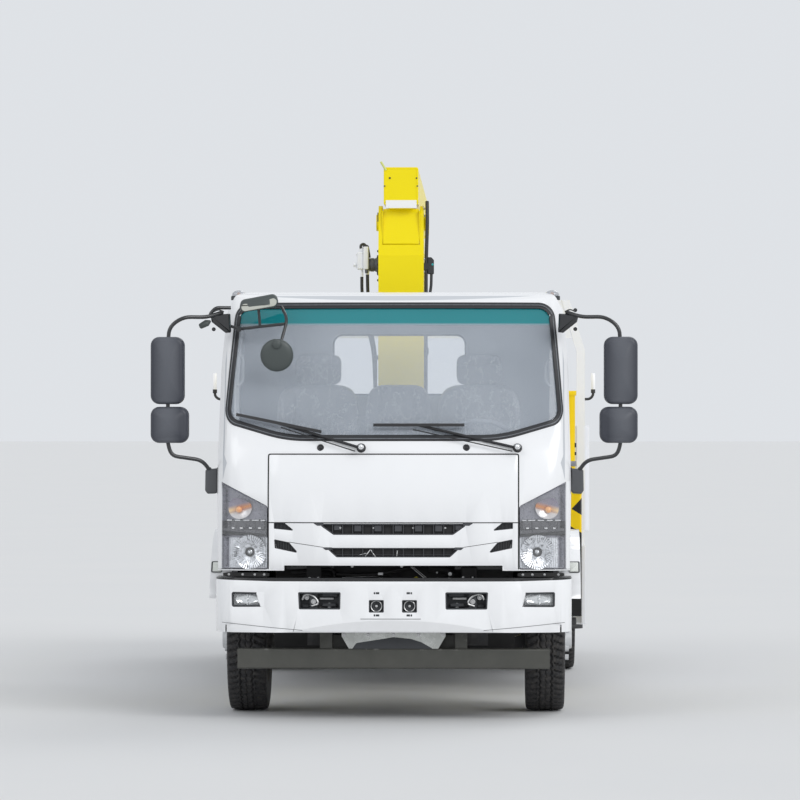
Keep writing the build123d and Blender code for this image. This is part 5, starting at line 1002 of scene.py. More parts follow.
WINDOW = dense(rounded([(0.590, 1.560, 0.060), (1.440, 1.530, 0.060), (1.440, 2.290, 0.060), (0.800, 2.290, 0.090)]),
               0.06)
REAR_WINDOW = dense(rect(-0.410, 1.890, 0.410, 2.265, 0.060), 0.06)
seals.append(frame_slab(inset(REAR_WINDOW, -0.014), 0.024, -0.012, 0.004, rear_face, 0.003))
piece("cab_seals", seals, seal_rubber, "cab")
piece("seal_strip", [frame_slab(inset(seal_line, 0.0125), 0.005, 0.0005, 0.0050, cab_round, 0.0012)], strip, "cab")
for side, place in (("left", side_face), ("right", right_face)):
    piece(f"door_seal_{side}", [frame_slab(inset(WINDOW, -0.012), 0.022, -0.014, 0.0035, place, 0.002)], seal_rubber,
          f"door_{side}")

# Wipers and washer: black arms on chrome-capped pivots below the screen, and two round nozzles.
wiper_black = plain("wiper_black", (0.018, 0.018, 0.020), 0.38, 0.3, 0.2, 60, 3)
dress(wiper_black, "wipers")
WIPER_LEAN = (0, -math.cos(math.radians(10)), math.sin(math.radians(10)))
HUB = [(-0.004, 0.0), (-0.004, 0.027), (0.004, 0.027), (0.012, 0.022), (0.020, 0.018), (0.020, 0.0)]
CAP = [(0.044, 0.0), (0.044, 0.0165), (0.052, 0.0165), (0.060, 0.012), (0.064, 0.005), (0.0645, 0.0)]
NOZZLE = [(-0.006, 0.0), (-0.006, 0.020), (0.003, 0.020), (0.006, 0.015), (0.004, 0.008), (0.010, 0.007),
          (0.012, 0.0)]
BLADE = [(-0.0025, -0.012), (0.0025, -0.012), (0.0035, 0.004), (0.009, 0.010), (-0.009, 0.010), (-0.0035, 0.004)]
caps, hubs, blades = [], [], []
for x in (-0.185, 0.714):
    spot = on_face(cab_round, x, 1.571, 0.002)
    hubs.append(turned(HUB, spot, WIPER_LEAN, 28))
    caps.append(turned(CAP, spot, WIPER_LEAN, 24))
hubs += [turned(NOZZLE, on_face(cab_round, x, 1.573), WIPER_LEAN, 24) for x in (-0.42, 0.42)]
for first, last in (((-0.908, 1.763), (-0.416, 1.663)), ((-0.116, 1.702), (0.407, 1.702))):
    blades.append(carried(BLADE, cab_round(*straight(first, last, 24).T, np.full(24, 0.0165)), up=(0, -1, 0.2)))
for (x, z), end in (((0.714, 1.571), (0.10, 1.700)), ((-0.185, 1.571), (-0.66, 1.712))):
    row = straight((x - 0.045, z + 0.004), end, 12) + (0.012, -0.022)
    blades.append(carried(ring(0.0035, 8), cab_round(*row.T, np.linspace(0.030, 0.020, 12))))
piece("wiper_hubs", hubs, wiper_black, "cab")
piece("wiper_caps", caps, chrome, "cab")
piece("wiper_blades", blades, wiper_black, "cab")

# Under the cab: a black shroud ahead of the radiator with a pipe, a clamp, two rods and small
# fittings before it. Below the bumper it goes on as a black sheet behind two grey stays: painted shade.
def facing_up(x, y, out):
    """A level face, at the height that out is."""
    return np.stack([x, y, out + 0 * x], -1)


def block(x, s, z, bend=0.004, chamfer=0.002):
    """Rounded, chamfered block between two limits across, two stations and two heights."""
    (x0, x1), (s0, s1), (z0, z1) = sorted(x), s, z
    y0, y1 = NOSE_Y + s0, NOSE_Y + s1
    return slab(rect(x0, y0, x1, y1, bend, 4), z0, z1, facing_up, chamfer)


def tube(radius, *points, bend=0.03, sides=12):
    """Round bar through points given by x, station and height, its corners eased."""
    path = smooth_path(np.array(points, float) + (0, NOSE_Y, 0), bend) if len(points) > 2 else \
        straight(points[0], points[1], 2) + (0, NOSE_Y, 0)
    runs = np.diff(path, axis=0)
    runs /= np.linalg.norm(runs, axis=1)[:, None]
    return carried(ring(radius, sides), path, up=np.eye(3)[np.abs(runs).max(0).argmin()])


shroud_and_shade_black = Finish("shroud_and_shade_black", (0.012, 0.012, 0.013), 0.6)
shroud_and_shade_black.feed(Base_Color=shroud_and_shade_black.cloudy((0.010, 0.010, 0.011), (0.030, 0.029, 0.028), 9, 4),
                  Roughness=0.5 + shroud_and_shade_black.noise(20, 3) * 0.25)
shroud = slab(rounded([(-0.640, 0.600, 0.02), (0.640, 0.600, 0.02), (0.690, 0.720, 0.02), (0.690, 0.906, 0.01),
                       (-0.690, 0.906, 0.01), (-0.690, 0.720, 0.02)]), -NOSE_Y - 0.386, -NOSE_Y - 0.380,
              straight_face)
# A black sheet behind the stays stands for the dark space under the truck: painted shade.
shade_sheet = slab(rect(-0.700, 0.405, 0.700, 0.640, 0.03),
              -NOSE_Y - 0.352, -NOSE_Y - 0.346, straight_face)
dark = [shroud, shade_sheet]
for sign in (1, -1):
    dark.append(strip_slab(dense(rect(0.715, 0.8300, 0.984, 0.8540, 0.004, side=sign)), -0.088, -0.082, bumper_face,
                           12, 3))
dark += [block((-0.505, -0.420), (0.235, 0.241), (0.812, 0.902), 0.002),
         block((0.390, 0.480), (0.250, 0.320), (0.812, 0.880), 0.01)]
dark.append(tube(0.011, (-0.330, 0.30, 0.838), (-0.24, 0.27, 0.834), (-0.090, 0.26, 0.840), (0.060, 0.26, 0.872),
                 (0.135, 0.30, 0.880)))
dark.append(tube(0.020, (0.20, 0.33, 0.870), (0.30, 0.31, 0.866), (0.335, 0.31, 0.840), (0.335, 0.33, 0.80),
                 bend=0.05))
dark.append(tube(0.014, (-0.60, 0.33, 0.850), (-0.36, 0.33, 0.868), (-0.345, 0.33, 0.82)))
piece("front_shroud", dark, shroud_and_shade_black, "chassis")
stay_grey = painted("stay_grey", (0.050, 0.050, 0.053), 0.5, 0.3, 0.0006)
stays = [block(x, (0.330, 0.344), (0.425, 0.560), 0.002) for x in ((-0.505, -0.356), (0.338, 0.545))]
piece("shield_stays", stays, stay_grey, "chassis")
bright = [tube(0.0028, (0.098, 0.200, 0.886), (0.185, 0.205, 0.812)),
          tube(0.0022, (0.108, 0.200, 0.888), (0.196, 0.205, 0.816)),
          tube(0.0016, (-0.300, 0.262, 0.822), (-0.10, 0.262, 0.828), (0.05, 0.262, 0.860)),
          block((-0.092, -0.062), (0.236, 0.250), (0.834, 0.852), 0.003)]
for x, s, z, size in ((-0.240, 0.21, 0.888, 0.009), (0.046, 0.21, 0.889, 0.010), (0.325, 0.245, 0.842, 0.012),
                      (-0.488, 0.232, 0.818, 0.008), (-0.437, 0.232, 0.818, 0.008), (0.400, 0.246, 0.822, 0.008),
                      (0.455, 0.246, 0.820, 0.008), (0.250, 0.246, 0.850, 0.006)):
    bright += bolt((x, NOSE_Y + s, z), AHEAD, size)
for sign in (1, -1):
    for x in (0.745, 0.800, 0.870, 0.950):
        bright += bolt(on_face(bumper_face, sign * x, 0.842, -0.082), AHEAD, 0.008, 0.005)
piece("shroud_fittings", bright, bare_steel, "chassis")
cap_yellow = plain("cap_yellow", (0.55, 0.48, 0.03), 0.4, 0.35, 0.2, 50, 2)
piece("oil_cap", [turned([(0, 0.0), (0, 0.017), (0.006, 0.017), (0.010, 0.013), (0.010, 0.006), (0.016, 0.005),
                          (0.017, 0.0)], (0.130, NOSE_Y + 0.235, 0.812), (0, -0.3, 1), 12)], cap_yellow, "chassis")

# Doors: on each a pull handle over a shallow dark bowl, and a lock behind it.
for side, place, outward in (("left", side_face, (1, 0, 0)), ("right", right_face, (-1, 0, 0))):
    body = f"door_{side}"
    bowl = rect(1.270, 1.330, 1.450, 1.395, 0.028)
    lock = [(-0.002, 0.0), (-0.002, 0.0115), (0.003, 0.0115), (0.004, 0.009), (0.0035, 0.0)]
    piece(f"door_bowl_{side}", [frame_slab(bowl, 0.005, -0.002, 0.0025, place),
                                slab(inset(bowl, 0.004), -0.002, 0.0008, place, 0.0004)], gap_black, body)
    piece(f"door_handle_{side}", panels([(1.262, 1.356, 1.458, 1.386, 0.014, 0.010, 0.024, 0.005),
                                         (1.262, 1.358, 1.284, 1.384, 0.008, -0.001, 0.012, 0.001),
                                         (1.436, 1.358, 1.458, 1.384, 0.008, -0.001, 0.012, 0.001)], place),
          dark_plastic, body)
    piece(f"door_lock_{side}", [turned(lock, on_face(place, 1.478, 1.362), outward, 20)], bare_steel, body)

# Mirrors: moulded dark grey housings on bent black tubes, held by two brackets on each corner of
# the cab; the right front corner also carries a round kerb mirror and an oblong down mirror.
mirror_plastic = Finish("mirror_plastic", (0.068, 0.074, 0.090), 0.42)
# The housings are painted lighter in a band down their middle: a painted sheen, the sky's reflection on the crowned
# face.
off_middle = ((mirror_plastic.beside - 1.316) * 13).held(-1, 1)
sheen_band = 1 - off_middle * off_middle
mirror_plastic.feed(Base_Color=mirror_plastic.mix((0.038, 0.042, 0.056), (0.105, 0.112, 0.130),
                                                  sheen_band * (0.7 + mirror_plastic.noise(4, 3) * 0.3)),
                    Roughness=0.36 + mirror_plastic.noise(30, 3) * 0.16)
mirror_plastic.grain(1100, 0.0003, 0.3)
tube_black = plain("tube_black", (0.016, 0.017, 0.019), 0.28, 0.24, 0.14, 40, 3, Coat_Weight=0.5)
MIRROR_Y = NOSE_Y + 0.260
silvered = plain("mirror_glass", (0.80, 0.84, 0.86), 0.02, 0.015, 0.02, 5, 2, Metallic=1.0)


def crowned_shell(outline, front, back, crown, place):
    """Closed shell: rings of the outline drawn in towards its middle, each further out by a quarter-round.

    The in-step follows cosine and the out-step follows sine of the same angle; the middle bulges
    across its width as a parabola.
    """
    middle = (outline.max(0) + outline.min(0)) / 2
    rings = [(outline, back)]
    for turn in np.linspace(0, np.pi / 2, 7):
        rings.append((inset(outline, crown * 0.9 * (1 - np.cos(turn))), front - crown * (1 - np.sin(turn))))
    edge = rings[-1][0]
    half = edge.max(0) - middle
    for share in (0.93, 0.75, 0.5, 0.25, 0.05):
        shape = middle + (edge - middle) * share
        across_, along = ((shape - middle) / half).T
        rings.append((shape, front + crown * 0.7 * (1 - across_ ** 2) * (1 - along ** 4)))
    count = len(outline)
    points = np.concatenate([place(shape[:, 0], shape[:, 1], out + np.zeros(count)) for shape, out in rings])
    return points, [net(len(rings), count, wrap_columns=True), np.arange(count)[::-1],
                    np.arange(count) + (len(rings) - 1) * count]


def across(x, z, out):
    """A flat face across the truck at the mirrors, out ahead of their middle."""
    return np.stack([x, MIRROR_Y - out + 0 * x, z], -1)


def looking_back(x, z, out):
    """The same flat face, out behind the mirrors' middle."""
    return across(x, z, -out)


CLAMP = [(-0.016, 0.0), (-0.016, 0.017), (-0.013, 0.019), (0.013, 0.019), (0.016, 0.017), (0.016, 0.0)]
shells, panes, lips, clamps = [], [], [], []
for sign in (1, -1):
    for low_x, low_z, high_z in ((1.215, 1.825, 2.215), (1.190, 1.600, 1.810)):
        shape = rect(low_x, low_z, 1.410, high_z, 0.050, 7, side=sign)
        shells.append(crowned_shell(shape, 0.046, -0.040, 0.030, across))
        lips.append(frame_slab(inset(shape, 0.001), 0.008, 0.028, 0.046, looking_back, 0.002))
        panes.append(slab(inset(shape, 0.009), 0.038, 0.0425, looking_back, 0.001))
    for z in (1.870, 2.170, 1.640, 1.770):
        clamps.append(turned(CLAMP, (sign * 1.310, MIRROR_Y - 0.012, z), UP, 20))
    for x, s, z in ((1.052, 0.358, 2.372), (1.052, 0.358, 2.262), (1.076, 0.358, 1.345), (1.076, 0.358, 1.448)):
        clamps += bolt((sign * x, NOSE_Y + s + 0.012, z), AHEAD, 0.013, 0.008)
heads = piece("mirror_shells", shells, mirror_plastic, "cab", 50)
piece("mirror_lips", lips, gap_black, "cab")
piece("mirror_panes", panes, silvered, "cab")
piece("mirror_clamps", clamps, tube_black, "cab")
kerb_grey = plain("kerb_grey", (0.062, 0.074, 0.072), 0.42, 0.36, 0.16, 30, 3)
kerb_grey.grain(1100, 0.0003, 0.3)
disc_spot = (-0.675, NOSE_Y + 0.192, 2.108)
tilt = (0, -math.cos(math.radians(8)), -math.sin(math.radians(8)))
disc = [turned([(-0.002, 0.0), (-0.002, 0.094), (0.006, 0.0955), (0.014, 0.092), (0.022, 0.080), (0.027, 0.060),
                (0.030, 0.030), (0.031, 0.0)], disc_spot, tilt, 48),
        turned([(0.022, 0.0), (0.022, 0.028), (0.038, 0.026), (0.046, 0.018), (0.046, 0.0)],
               (-0.675, NOSE_Y + 0.190, 2.172), tilt, 24)]
arc = np.linspace(math.radians(205), math.radians(335), 20)
disc.append(carried(ring(0.0022, 6), np.stack([-0.675 + 0.062 * np.cos(arc), np.full(20, NOSE_Y + 0.1645),
                                               2.135 + 0.030 * np.sin(arc)], 1)))
disc_piece = piece("kerb_mirror_disc", disc, kerb_grey, "cab", 50)
piece("kerb_mirror_pane", [turned([(0.0, 0.0), (0.003, 0.060), (0.001, 0.089), (-0.002, 0.089), (-0.002, 0.0)],
                                  disc_spot, (0, 1, 0.12), 40)], silvered, "cab")
KERB_Y = NOSE_Y + 0.320


def kerb_place(x, z, out):
    """The oblong mirror's face: it looks forward and down."""
    return np.stack([x, KERB_Y - out + (z - 2.41) * 0.45, z], -1)


pane_shape = rounded([(-0.903, 2.357, 0.022), (-0.690, 2.396, 0.022), (-0.676, 2.428, 0.020), (-0.700, 2.441, 0.012),
                      (-0.880, 2.405, 0.022)], 7)
shell_shape = rounded([(-0.905, 2.356, 0.028), (-0.690, 2.388, 0.028), (-0.674, 2.425, 0.024), (-0.690, 2.470, 0.028),
                       (-0.890, 2.432, 0.030)], 7)
oblong = piece("kerb_mirror_shell", [crowned_shell(shell_shape, 0.022, -0.030, 0.018, kerb_place)], kerb_grey, "cab",
               50)
pale_glass = plain("pale_mirror_glass", (0.55, 0.56, 0.50), 0.08, 0.06, 0.05, 8, 2, Metallic=0.4)
piece("kerb_mirror_face", [slab(pane_shape, 0.014, 0.0285, kerb_place, 0.003)], pale_glass, "cab")
for made in (heads, disc_piece, oblong):
    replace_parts(made, "mirror_heads")

# Mirror arms: bent steel tubes in black, each from a forked bracket on the upper pillar down to a
# moulded boot lower on the door post; thinner rods cross to carry the kerb mirrors.
ARM = [(0.998, 0.352, 2.362), (1.085, 0.325, 2.331), (1.225, 0.268, 2.331), (1.307, 0.260, 2.270),
       (1.313, 0.260, 1.600), (1.290, 0.262, 1.526), (1.115, 0.315, 1.500), (1.066, 0.345, 1.430)]
ARM_LOOP = [(0.99, 0.325, 2.362), (1.02, 0.325, 2.376), (1.045, 0.325, 2.366)]
WEDGE = [(1.072, 2.345, 0.008), (0.956, 2.352, 0.004), (0.952, 2.244, 0.004), (0.982, 2.240, 0.008),
         (1.062, 2.303, 0.010)]
BOOT = [(1.022, 1.328, 0.004), (1.036, 1.306, 0.016), (1.086, 1.304, 0.012), (1.100, 1.324, 0.010),
        (1.098, 1.446, 0.012), (1.022, 1.454, 0.006)]
arms, boots = [], []
for sign in (1, -1):
    arms.append(tube(0.0115, *np.array(ARM) * (sign, 1, 1), bend=0.05))
    arms.append(slab(handed(WEDGE, sign), -NOSE_Y - 0.400, -NOSE_Y - 0.335, straight_face, 0.008))
    boots.append(slab(handed(BOOT, sign), -NOSE_Y - 0.430, -NOSE_Y - 0.325, straight_face, 0.010))
    arms.append(block((sign * 0.990, sign * 1.034), (0.372, 0.428), (1.335, 1.458), 0.006))
    arms.append(tube(0.004, *np.array(ARM_LOOP) * (sign, 1, 1)))
arms.append(tube(0.0105, (-1.070, 0.340, 2.330), (-1.070, 0.340, 2.352), (-1.040, 0.345, 2.387),
                 (-0.955, 0.375, 2.387), bend=0.022))
arms.append(tube(0.009, (-0.656, 0.330, 2.392), (-0.617, 0.270, 2.320), (-0.653, 0.205, 2.180), bend=0.05))
arms.append(tube(0.009, (-0.632, 0.258, 2.290), (-0.905, 0.390, 2.264), (-1.010, 0.395, 2.300), bend=0.02))
arms.append(tube(0.008, (-0.790, 0.320, 2.400), (-0.780, 0.327, 2.277)))
arms.append(tube(0.016, (-0.905, 0.365, 2.262), (-0.905, 0.400, 2.266)))
leaf = rounded([(-1.140, 2.290, 0.010), (-1.128, 2.262, 0.010), (-1.080, 2.282, 0.012), (-1.062, 2.314, 0.008),
                (-1.100, 2.316, 0.012)], 6)
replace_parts(piece("mirror_tubes", arms, tube_black, "cab", 45), "mirror_arms")
boot_grey = painted("boot_grey", (0.085, 0.088, 0.094), 0.5, 0.1, 0.0005)
piece("mirror_boots", boots, boot_grey, "cab")
piece("leaf_mirror", [crowned_shell(leaf, 0.016, -0.012, 0.010, lambda x, z, out: across(x, z, out) + (0, 0.085, 0))],
      kerb_grey, "cab", 50)

# Seats: foam cushions and backs in grey cloth on painted boxes, three abreast, the outer two with
# headrests. Each pad is a crowned, closed form with sewn channels, still under its thin clear film.
seat_fabric = Finish("seat_fabric", (0.56, 0.57, 0.60), 0.75, Coat_Weight=0.35, Coat_Roughness=0.2)
weave = seat_fabric.node("ShaderNodeTexWave", "Fac", {"bands_direction": "X"}, Vector=seat_fabric.place, Scale=260.0,
                         Distortion=1.5)
crinkle = seat_fabric.noise(11, 5, 0.7, (1, 1, 0.6))
seat_fabric.feed(Base_Color=seat_fabric.mix(seat_fabric.cloudy((0.34, 0.35, 0.365), (0.50, 0.51, 0.52), 5, 3),
                                            (0.86, 0.88, 0.90), ((crinkle - 0.5).size().below(0.012)) * 0.55),
                 Roughness=0.55 + weave * 0.25)
seat_fabric.bump(weave * 0.15 + crinkle * 0.85, 0.006, 0.6)


def pad(centre, half, lean, channels, side_roll):
    """Superellipsoid: each axis goes by sign(t) |t|^0.42 of its sine or cosine, so faces are crowned.

    The front face sinks along each channel as a bell curve, rises towards its sides with the square
    of x, and the whole leans about the x axis.
    """
    u = np.linspace(0, 2 * np.pi, 97)[:-1][None, :]
    v = np.linspace(-np.pi / 2, np.pi / 2, 49)[:, None]

    def power(t):
        return np.sign(t) * np.abs(t) ** 0.42

    x = half[0] * power(np.cos(v)) * power(np.cos(u))
    length = half[1] * power(np.cos(v)) * power(np.sin(u))
    thick = half[2] * power(np.sin(v)) + 0 * x
    front = np.clip(thick / half[2], 0, 1) ** 2
    sunk = sum(np.exp(-((x - c) / 0.007) ** 2) for c in channels) + np.exp(-((length - half[1] * 0.35) / 0.007) ** 2)
    thick = thick + front * (side_roll * (x / half[0]) ** 2 - 0.011 * np.clip(sunk, 0, 1))
    c, s = math.cos(lean), math.sin(lean)
    points = np.stack([centre[0] + x, NOSE_Y + centre[1] + length * c - thick * s,
                       centre[2] + length * s + thick * c], -1)
    return points.reshape(-1, 3), [net(49, 96, wrap_columns=True)]


seat_parts = []
for x, half, headrest, name in ((0.490, 0.250, True, "driver"), (-0.490, 0.250, True, "mate"),
                                (0.0, 0.200, False, "middle")):
    lines = (-0.52 * half, 0.52 * half)
    cushion = piece(f"seat_cushion_{name}", [pad((x, 1.140, 1.355), (half, 0.285, 0.062), 0.02, lines, 0.012)],
                    seat_fabric, "cab", 60)
    back = piece(f"seat_back_{name}", [pad((x, 1.505, 1.640), (half, 0.315, 0.058), math.radians(102.5), lines,
                                           0.014)], seat_fabric, "cab", 60)
    made = [cushion, back]
    if headrest:
        made.append(piece(f"seat_headrest_{name}", [pad((x, 1.603, 2.045), (0.138, 0.093, 0.038), math.radians(98),
                                                        (), 0.004)], seat_fabric, "cab", 60))
        for post in (-0.070, 0.070):
            seat_parts.append(tube(0.006, (x + post, 1.570, 1.900), (x + post, 1.597, 1.990)))
        seat_parts.append(tube(0.012, (x - half + 0.02, 1.430, 1.345), (x + half - 0.02, 1.430, 1.345)))
    for soft in made:
        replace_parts(soft, "seats")
piece("seat_posts", seat_parts, bare_steel, "cab")
interior_grey = painted("interior_grey", (0.42, 0.43, 0.45), 0.6, 0.05, 0.0004)
boxes = []
for x, half in ((0.490, 0.195), (-0.490, 0.195)):
    boxes.append(block((x - half, x + half), (0.930, 1.400), (1.185, 1.300), 0.02, 0.006))
    boxes.append(block((x - 0.10 if x < 0 else 0.392, x + 0.10 if x > 0 else -0.392), (0.98, 1.36), (0.985, 1.19),
                       0.02, 0.006))
boxes.append(block((-0.140, 0.140), (0.930, 1.400), (1.182, 1.300), 0.02, 0.006))
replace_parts(piece("seat_boxes", boxes, interior_grey, "cab"), "seats")

# Dashboard: one wide moulding with grained skin, four air vents and a bank of switches. Grab handles
# stand on both pillars, two sun visors hang over the screen and two stalks lie beside the column.
dash_skin = painted("dash_skin", (0.30, 0.31, 0.33), 0.55, 0.05, 0.0)
dash_skin.grain(700, 0.0006, 0.5)
dress(dash_skin, "dashboard", soften=0.006)
def dash_face(x, z, out):
    """The dashboard's face, which leans away from the seats as it rises."""
    return np.stack([x, NOSE_Y + 0.640 - (z - 1.42) * 0.80 + out, z + 0.3 * out], -1)


vents, pale = [], []
for x in (-0.80, -0.16, 0.16, 0.80):
    vents.append(frame_slab(rect(x - 0.075, 1.432, x + 0.075, 1.492, 0.010), 0.007, -0.006, 0.006, dash_face))
    for z in (1.446, 1.460, 1.474):
        vents.append(slab(rect(x - 0.068, z, x + 0.068, z + 0.005, 0.002, 3), -0.004, 0.004, dash_face))
vents += [block((x - 0.016, x + 0.016), (0.575, 0.592), (1.515, 1.545)) for x in (0.300, 0.345, 0.390, 0.590, 0.635)]
piece("dash_fittings", vents, dark_plastic, "cab")
for x, low, high in ((-0.923, 1.93, 2.13), (0.914, 1.93, 2.09)):
    inward = -0.028 if x > 0 else 0.028
    pale.append(tube(0.010, (x, 0.520, low), (x + inward, 0.560, low + 0.03), (x + inward, 0.560, high - 0.03),
                     (x, 0.520, high), bend=0.03))
pale += [block(x, (0.560, 0.575), (2.285, 2.370), 0.01, 0.004) for x in ((-0.80, -0.12), (0.12, 0.80))]
trim_pale = plain("trim_pale", (0.52, 0.53, 0.54), 0.5, 0.45, 0.15, 40, 2)
piece("cab_trim", pale, trim_pale, "cab")
stalks = [tube(0.006, (0.400, 0.640, 1.560), (0.320, 0.620, 1.580)),
          tube(0.006, (0.580, 0.640, 1.560), (0.660, 0.620, 1.580))]
piece("wheel_stalks", stalks, dark_plastic, "cab")

# Crane: welded steel boxes in glossy yellow paint. The column stands on the slewing ring and its
# ears hold the boom; the boom's end plate carries bolts, a white band and a release lever.
def glossy_yellow(name, wear):
    """Gloss paint that drifts a little in depth; wear scores pale lines along the boom's slides."""
    paint = painted(name, (0.90, 0.735, 0.003), 0.32, 0.02, 0.0003, 0.15, Specular_IOR_Level=0.2)
    colour = paint.colour_so_far()
    score = (paint.noise(60, 3, 0.6, (1, 0.02, 1)) - 0.62).held() * wear
    return paint.feed(Base_Color=paint.mix(colour, (0.55, 0.53, 0.45), score.held(0, 0.7)))


crane_yellow = glossy_yellow("crane_yellow", 0.0)
dress(crane_yellow, "crane_base", "crane_column", "boom_base", "lift_barrel", soften=0.004)
slide_yellow = glossy_yellow("slide_yellow", 7.0)
dress(slide_yellow, "boom_middle", "boom_tip")
hook_paint = glossy_yellow("hook_paint", 0.0)
forged = hook_paint.z.below(2.665)
hook_paint.feed(Base_Color=hook_paint.mix(hook_paint.colour_so_far(), (0.05, 0.05, 0.055), forged),
                Metallic=forged * 0.7, Coat_Weight=0.15 * (1 - forged))
dress(hook_paint, "hook_block", soften=0.004)
rod_chrome = Finish("rod_chrome", (0.80, 0.81, 0.83), 0.08, Metallic=1.0)
rod_chrome.feed(Roughness=0.06 + rod_chrome.noise(90, 3, 0.5, (1, 0.1, 0.1)) * 0.08)
dress(rod_chrome, "lift_rod")
black_rubber = Finish("black_rubber", (0.022, 0.022, 0.024), 0.5)
black_rubber.feed(Base_Color=black_rubber.cloudy((0.018, 0.018, 0.019), (0.040, 0.039, 0.038), 12, 4),
                  Roughness=0.42 + black_rubber.noise(40, 3) * 0.2)
dress(black_rubber, "column_hoses")


def butt_face(x, z, out):
    """The flat rear end of the boom, which looks ahead over the cab."""
    return np.stack([x, NOSE_Y + 2.180 - out, z + 0 * x], -1)


def column_face(x, z, out):
    """The column's front: almost upright, then sloping back above the winch."""
    return np.stack([x, NOSE_Y + np.interp(z, [1.44, 2.77, 3.09], [2.190, 2.185, 2.240]) - out, z + 0 * x], -1)


end_plate = rounded([(-0.074, 3.063, 0.002), (0.074, 3.063, 0.002), (0.106, 3.095, 0.002), (0.106, 3.318, 0.012),
                     (-0.106, 3.318, 0.012), (-0.106, 3.095, 0.002)])
collars = []
for outline, s0, s1, grow in (((0.108, 3.060, 3.320), 6.120, 6.182, 0.010),
                              ((0.090, 3.080, 3.300), 6.240, 6.292, 0.008)):
    half, low, top = outline
    shape = [(0.034 - half, low, 0.001), (half - 0.034, low, 0.001), (half, low + 0.034, 0.001), (half, top, 0.012),
             (-half, top, 0.012), (-half, low + 0.034, 0.001)]
    collars.append((shape, s0, s1, grow))
for (shape, s0, s1, grow), body in zip(collars, ("boom_base", "boom_middle")):
    outer = inset(rounded(shape), -grow)
    piece(f"mouth_collar_{body}", [frame_slab(outer, grow + 0.001, -s1, -s0, lambda x, z,
                                              out: straight_face(x, z, out - NOSE_Y), 0.003)], crane_yellow, body)
piece("boom_end_plate", [frame_slab(end_plate, 0.009, -0.001, 0.0035, butt_face),
                         slab(inset(end_plate, 0.008), -0.001, 0.0015, butt_face, 0.0005)], crane_yellow, "boom_base")
band_white = plain("band_white", (0.86, 0.86, 0.85), 0.4, 0.35, 0.15, 40, 3)
band = rect(-0.095, 3.064, 0.098, 3.114, 0.002)
piece("boom_band", [slab(band, 0.0010, 0.0040, butt_face)], band_white, "boom_base")
butt_bolts = []
for x, z in ((-0.070, 3.252), (0.099, 3.252), (-0.102, 3.202), (0.102, 3.202)):
    butt_bolts += bolt(on_face(butt_face, x, z, 0.001), AHEAD, 0.007)
piece("boom_end_bolts", butt_bolts, tube_black, "boom_base")
lever_green = plain("lever_green", (0.62, 0.66, 0.20), 0.4, 0.35, 0.15, 40, 2)
piece("boom_release", [tube(0.007, (-0.094, 2.176, 3.302), (-0.126, 2.174, 3.354))], lever_green, "boom_base")
dark_bolts, pale_bolts = [], []
for z in (2.796, 2.758, 2.714, 2.690, 2.652, 2.614):
    dark_bolts += bolt(on_face(column_face, -0.1415, z, -0.015), (-1, 0, 0), 0.013, 0.007)
dark_bolts.append(block((-0.149, -0.1415), (2.240, 2.258), (2.983, 3.040), 0.001, 0.001))
for z in (3.065, 3.020, 2.746, 2.711, 2.667):
    pale_bolts += bolt(on_face(column_face, 0.1415, z, -0.015), (1, 0, 0), 0.012, 0.007)
plates = [block((side * 0.1125, side * 0.1175), (2.205, 2.330), (2.790, 3.050), 0.001, 0.0005) for side in (1, -1)]
piece("column_bolts", dark_bolts, tube_black, "column")
piece("column_pale_bolts", pale_bolts, bare_steel, "column")
piece("column_ear_strips", plates, crane_yellow, "column")
SLEW_S = 2.400
RING_RADIUS = 0.228
RING_BOLTS = 24
ring_bolts = []
for turn in np.arange(RING_BOLTS) / RING_BOLTS * 2 * np.pi:
    x, s = RING_RADIUS * math.cos(turn), SLEW_S + RING_RADIUS * math.sin(turn)
    if abs(x) > 0.155 or abs(s - SLEW_S) > 0.222:
        ring_bolts += bolt((x, NOSE_Y + s, 1.4455), UP, 0.013)
piece("ring_bolts", ring_bolts, bare_steel, "column")

# Winch: a cast drum case on the column's right, its motor with white fittings and looped pipes
# at the outer end, and two hoses that run down the column in clips.
cast_grey = painted("cast_grey", (0.10, 0.105, 0.115), 0.4, 0.1, 0.0008)
DRUM = (-0.142, NOSE_Y + 2.340, 2.716)
drum = [turned([(0.0, 0.0), (0.0, 0.062), (0.012, 0.062), (0.014, 0.046), (0.022, 0.043), (0.024, 0.040),
                (0.030, 0.040), (0.032, 0.043), (0.052, 0.043), (0.054, 0.040), (0.058, 0.040), (0.060, 0.045),
                (0.068, 0.045), (0.070, 0.0)], DRUM, (-1, 0, 0), 36),
        block((-0.230, -0.208), (2.296, 2.384), (2.662, 2.770), 0.01, 0.004)]
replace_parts(piece("winch_drum", drum, cast_grey, "column"), "winch")
fitting_white = plain("fitting_white", (0.86, 0.87, 0.88), 0.35, 0.28, 0.18, 40, 3)
MOTOR_CAP = [(0, 0.0), (0, 0.024), (0.004, 0.026), (0.030, 0.026), (0.034, 0.020), (0.034, 0.0)]
DOWN = (0, 0, -1)
motor = [block((-0.279, -0.239), (2.300, 2.374), (2.686, 2.794), 0.008, 0.005),
         block((-0.240, -0.2065), (2.288, 2.368), (2.686, 2.829), 0.006, 0.004),
         turned(MOTOR_CAP, (-0.246, NOSE_Y + 2.340, 2.786), UP, 6),
         pin((-0.279, NOSE_Y + 2.330, 2.716), (-1, 0, 0), 0.016, 0.022, 0.002, 6),
         pin((-0.248, NOSE_Y + 2.320, 2.688), DOWN, 0.008, 0.060),
         pin((-0.214, NOSE_Y + 2.320, 2.688), DOWN, 0.013, 0.034, sides=6)]
for z in (2.700, 2.780):
    for s in (2.316, 2.364):
        motor += bolt((-0.279, NOSE_Y + s, z), (-1, 0, 0), 0.008)
piece("winch_motor", motor, fitting_white, "column")
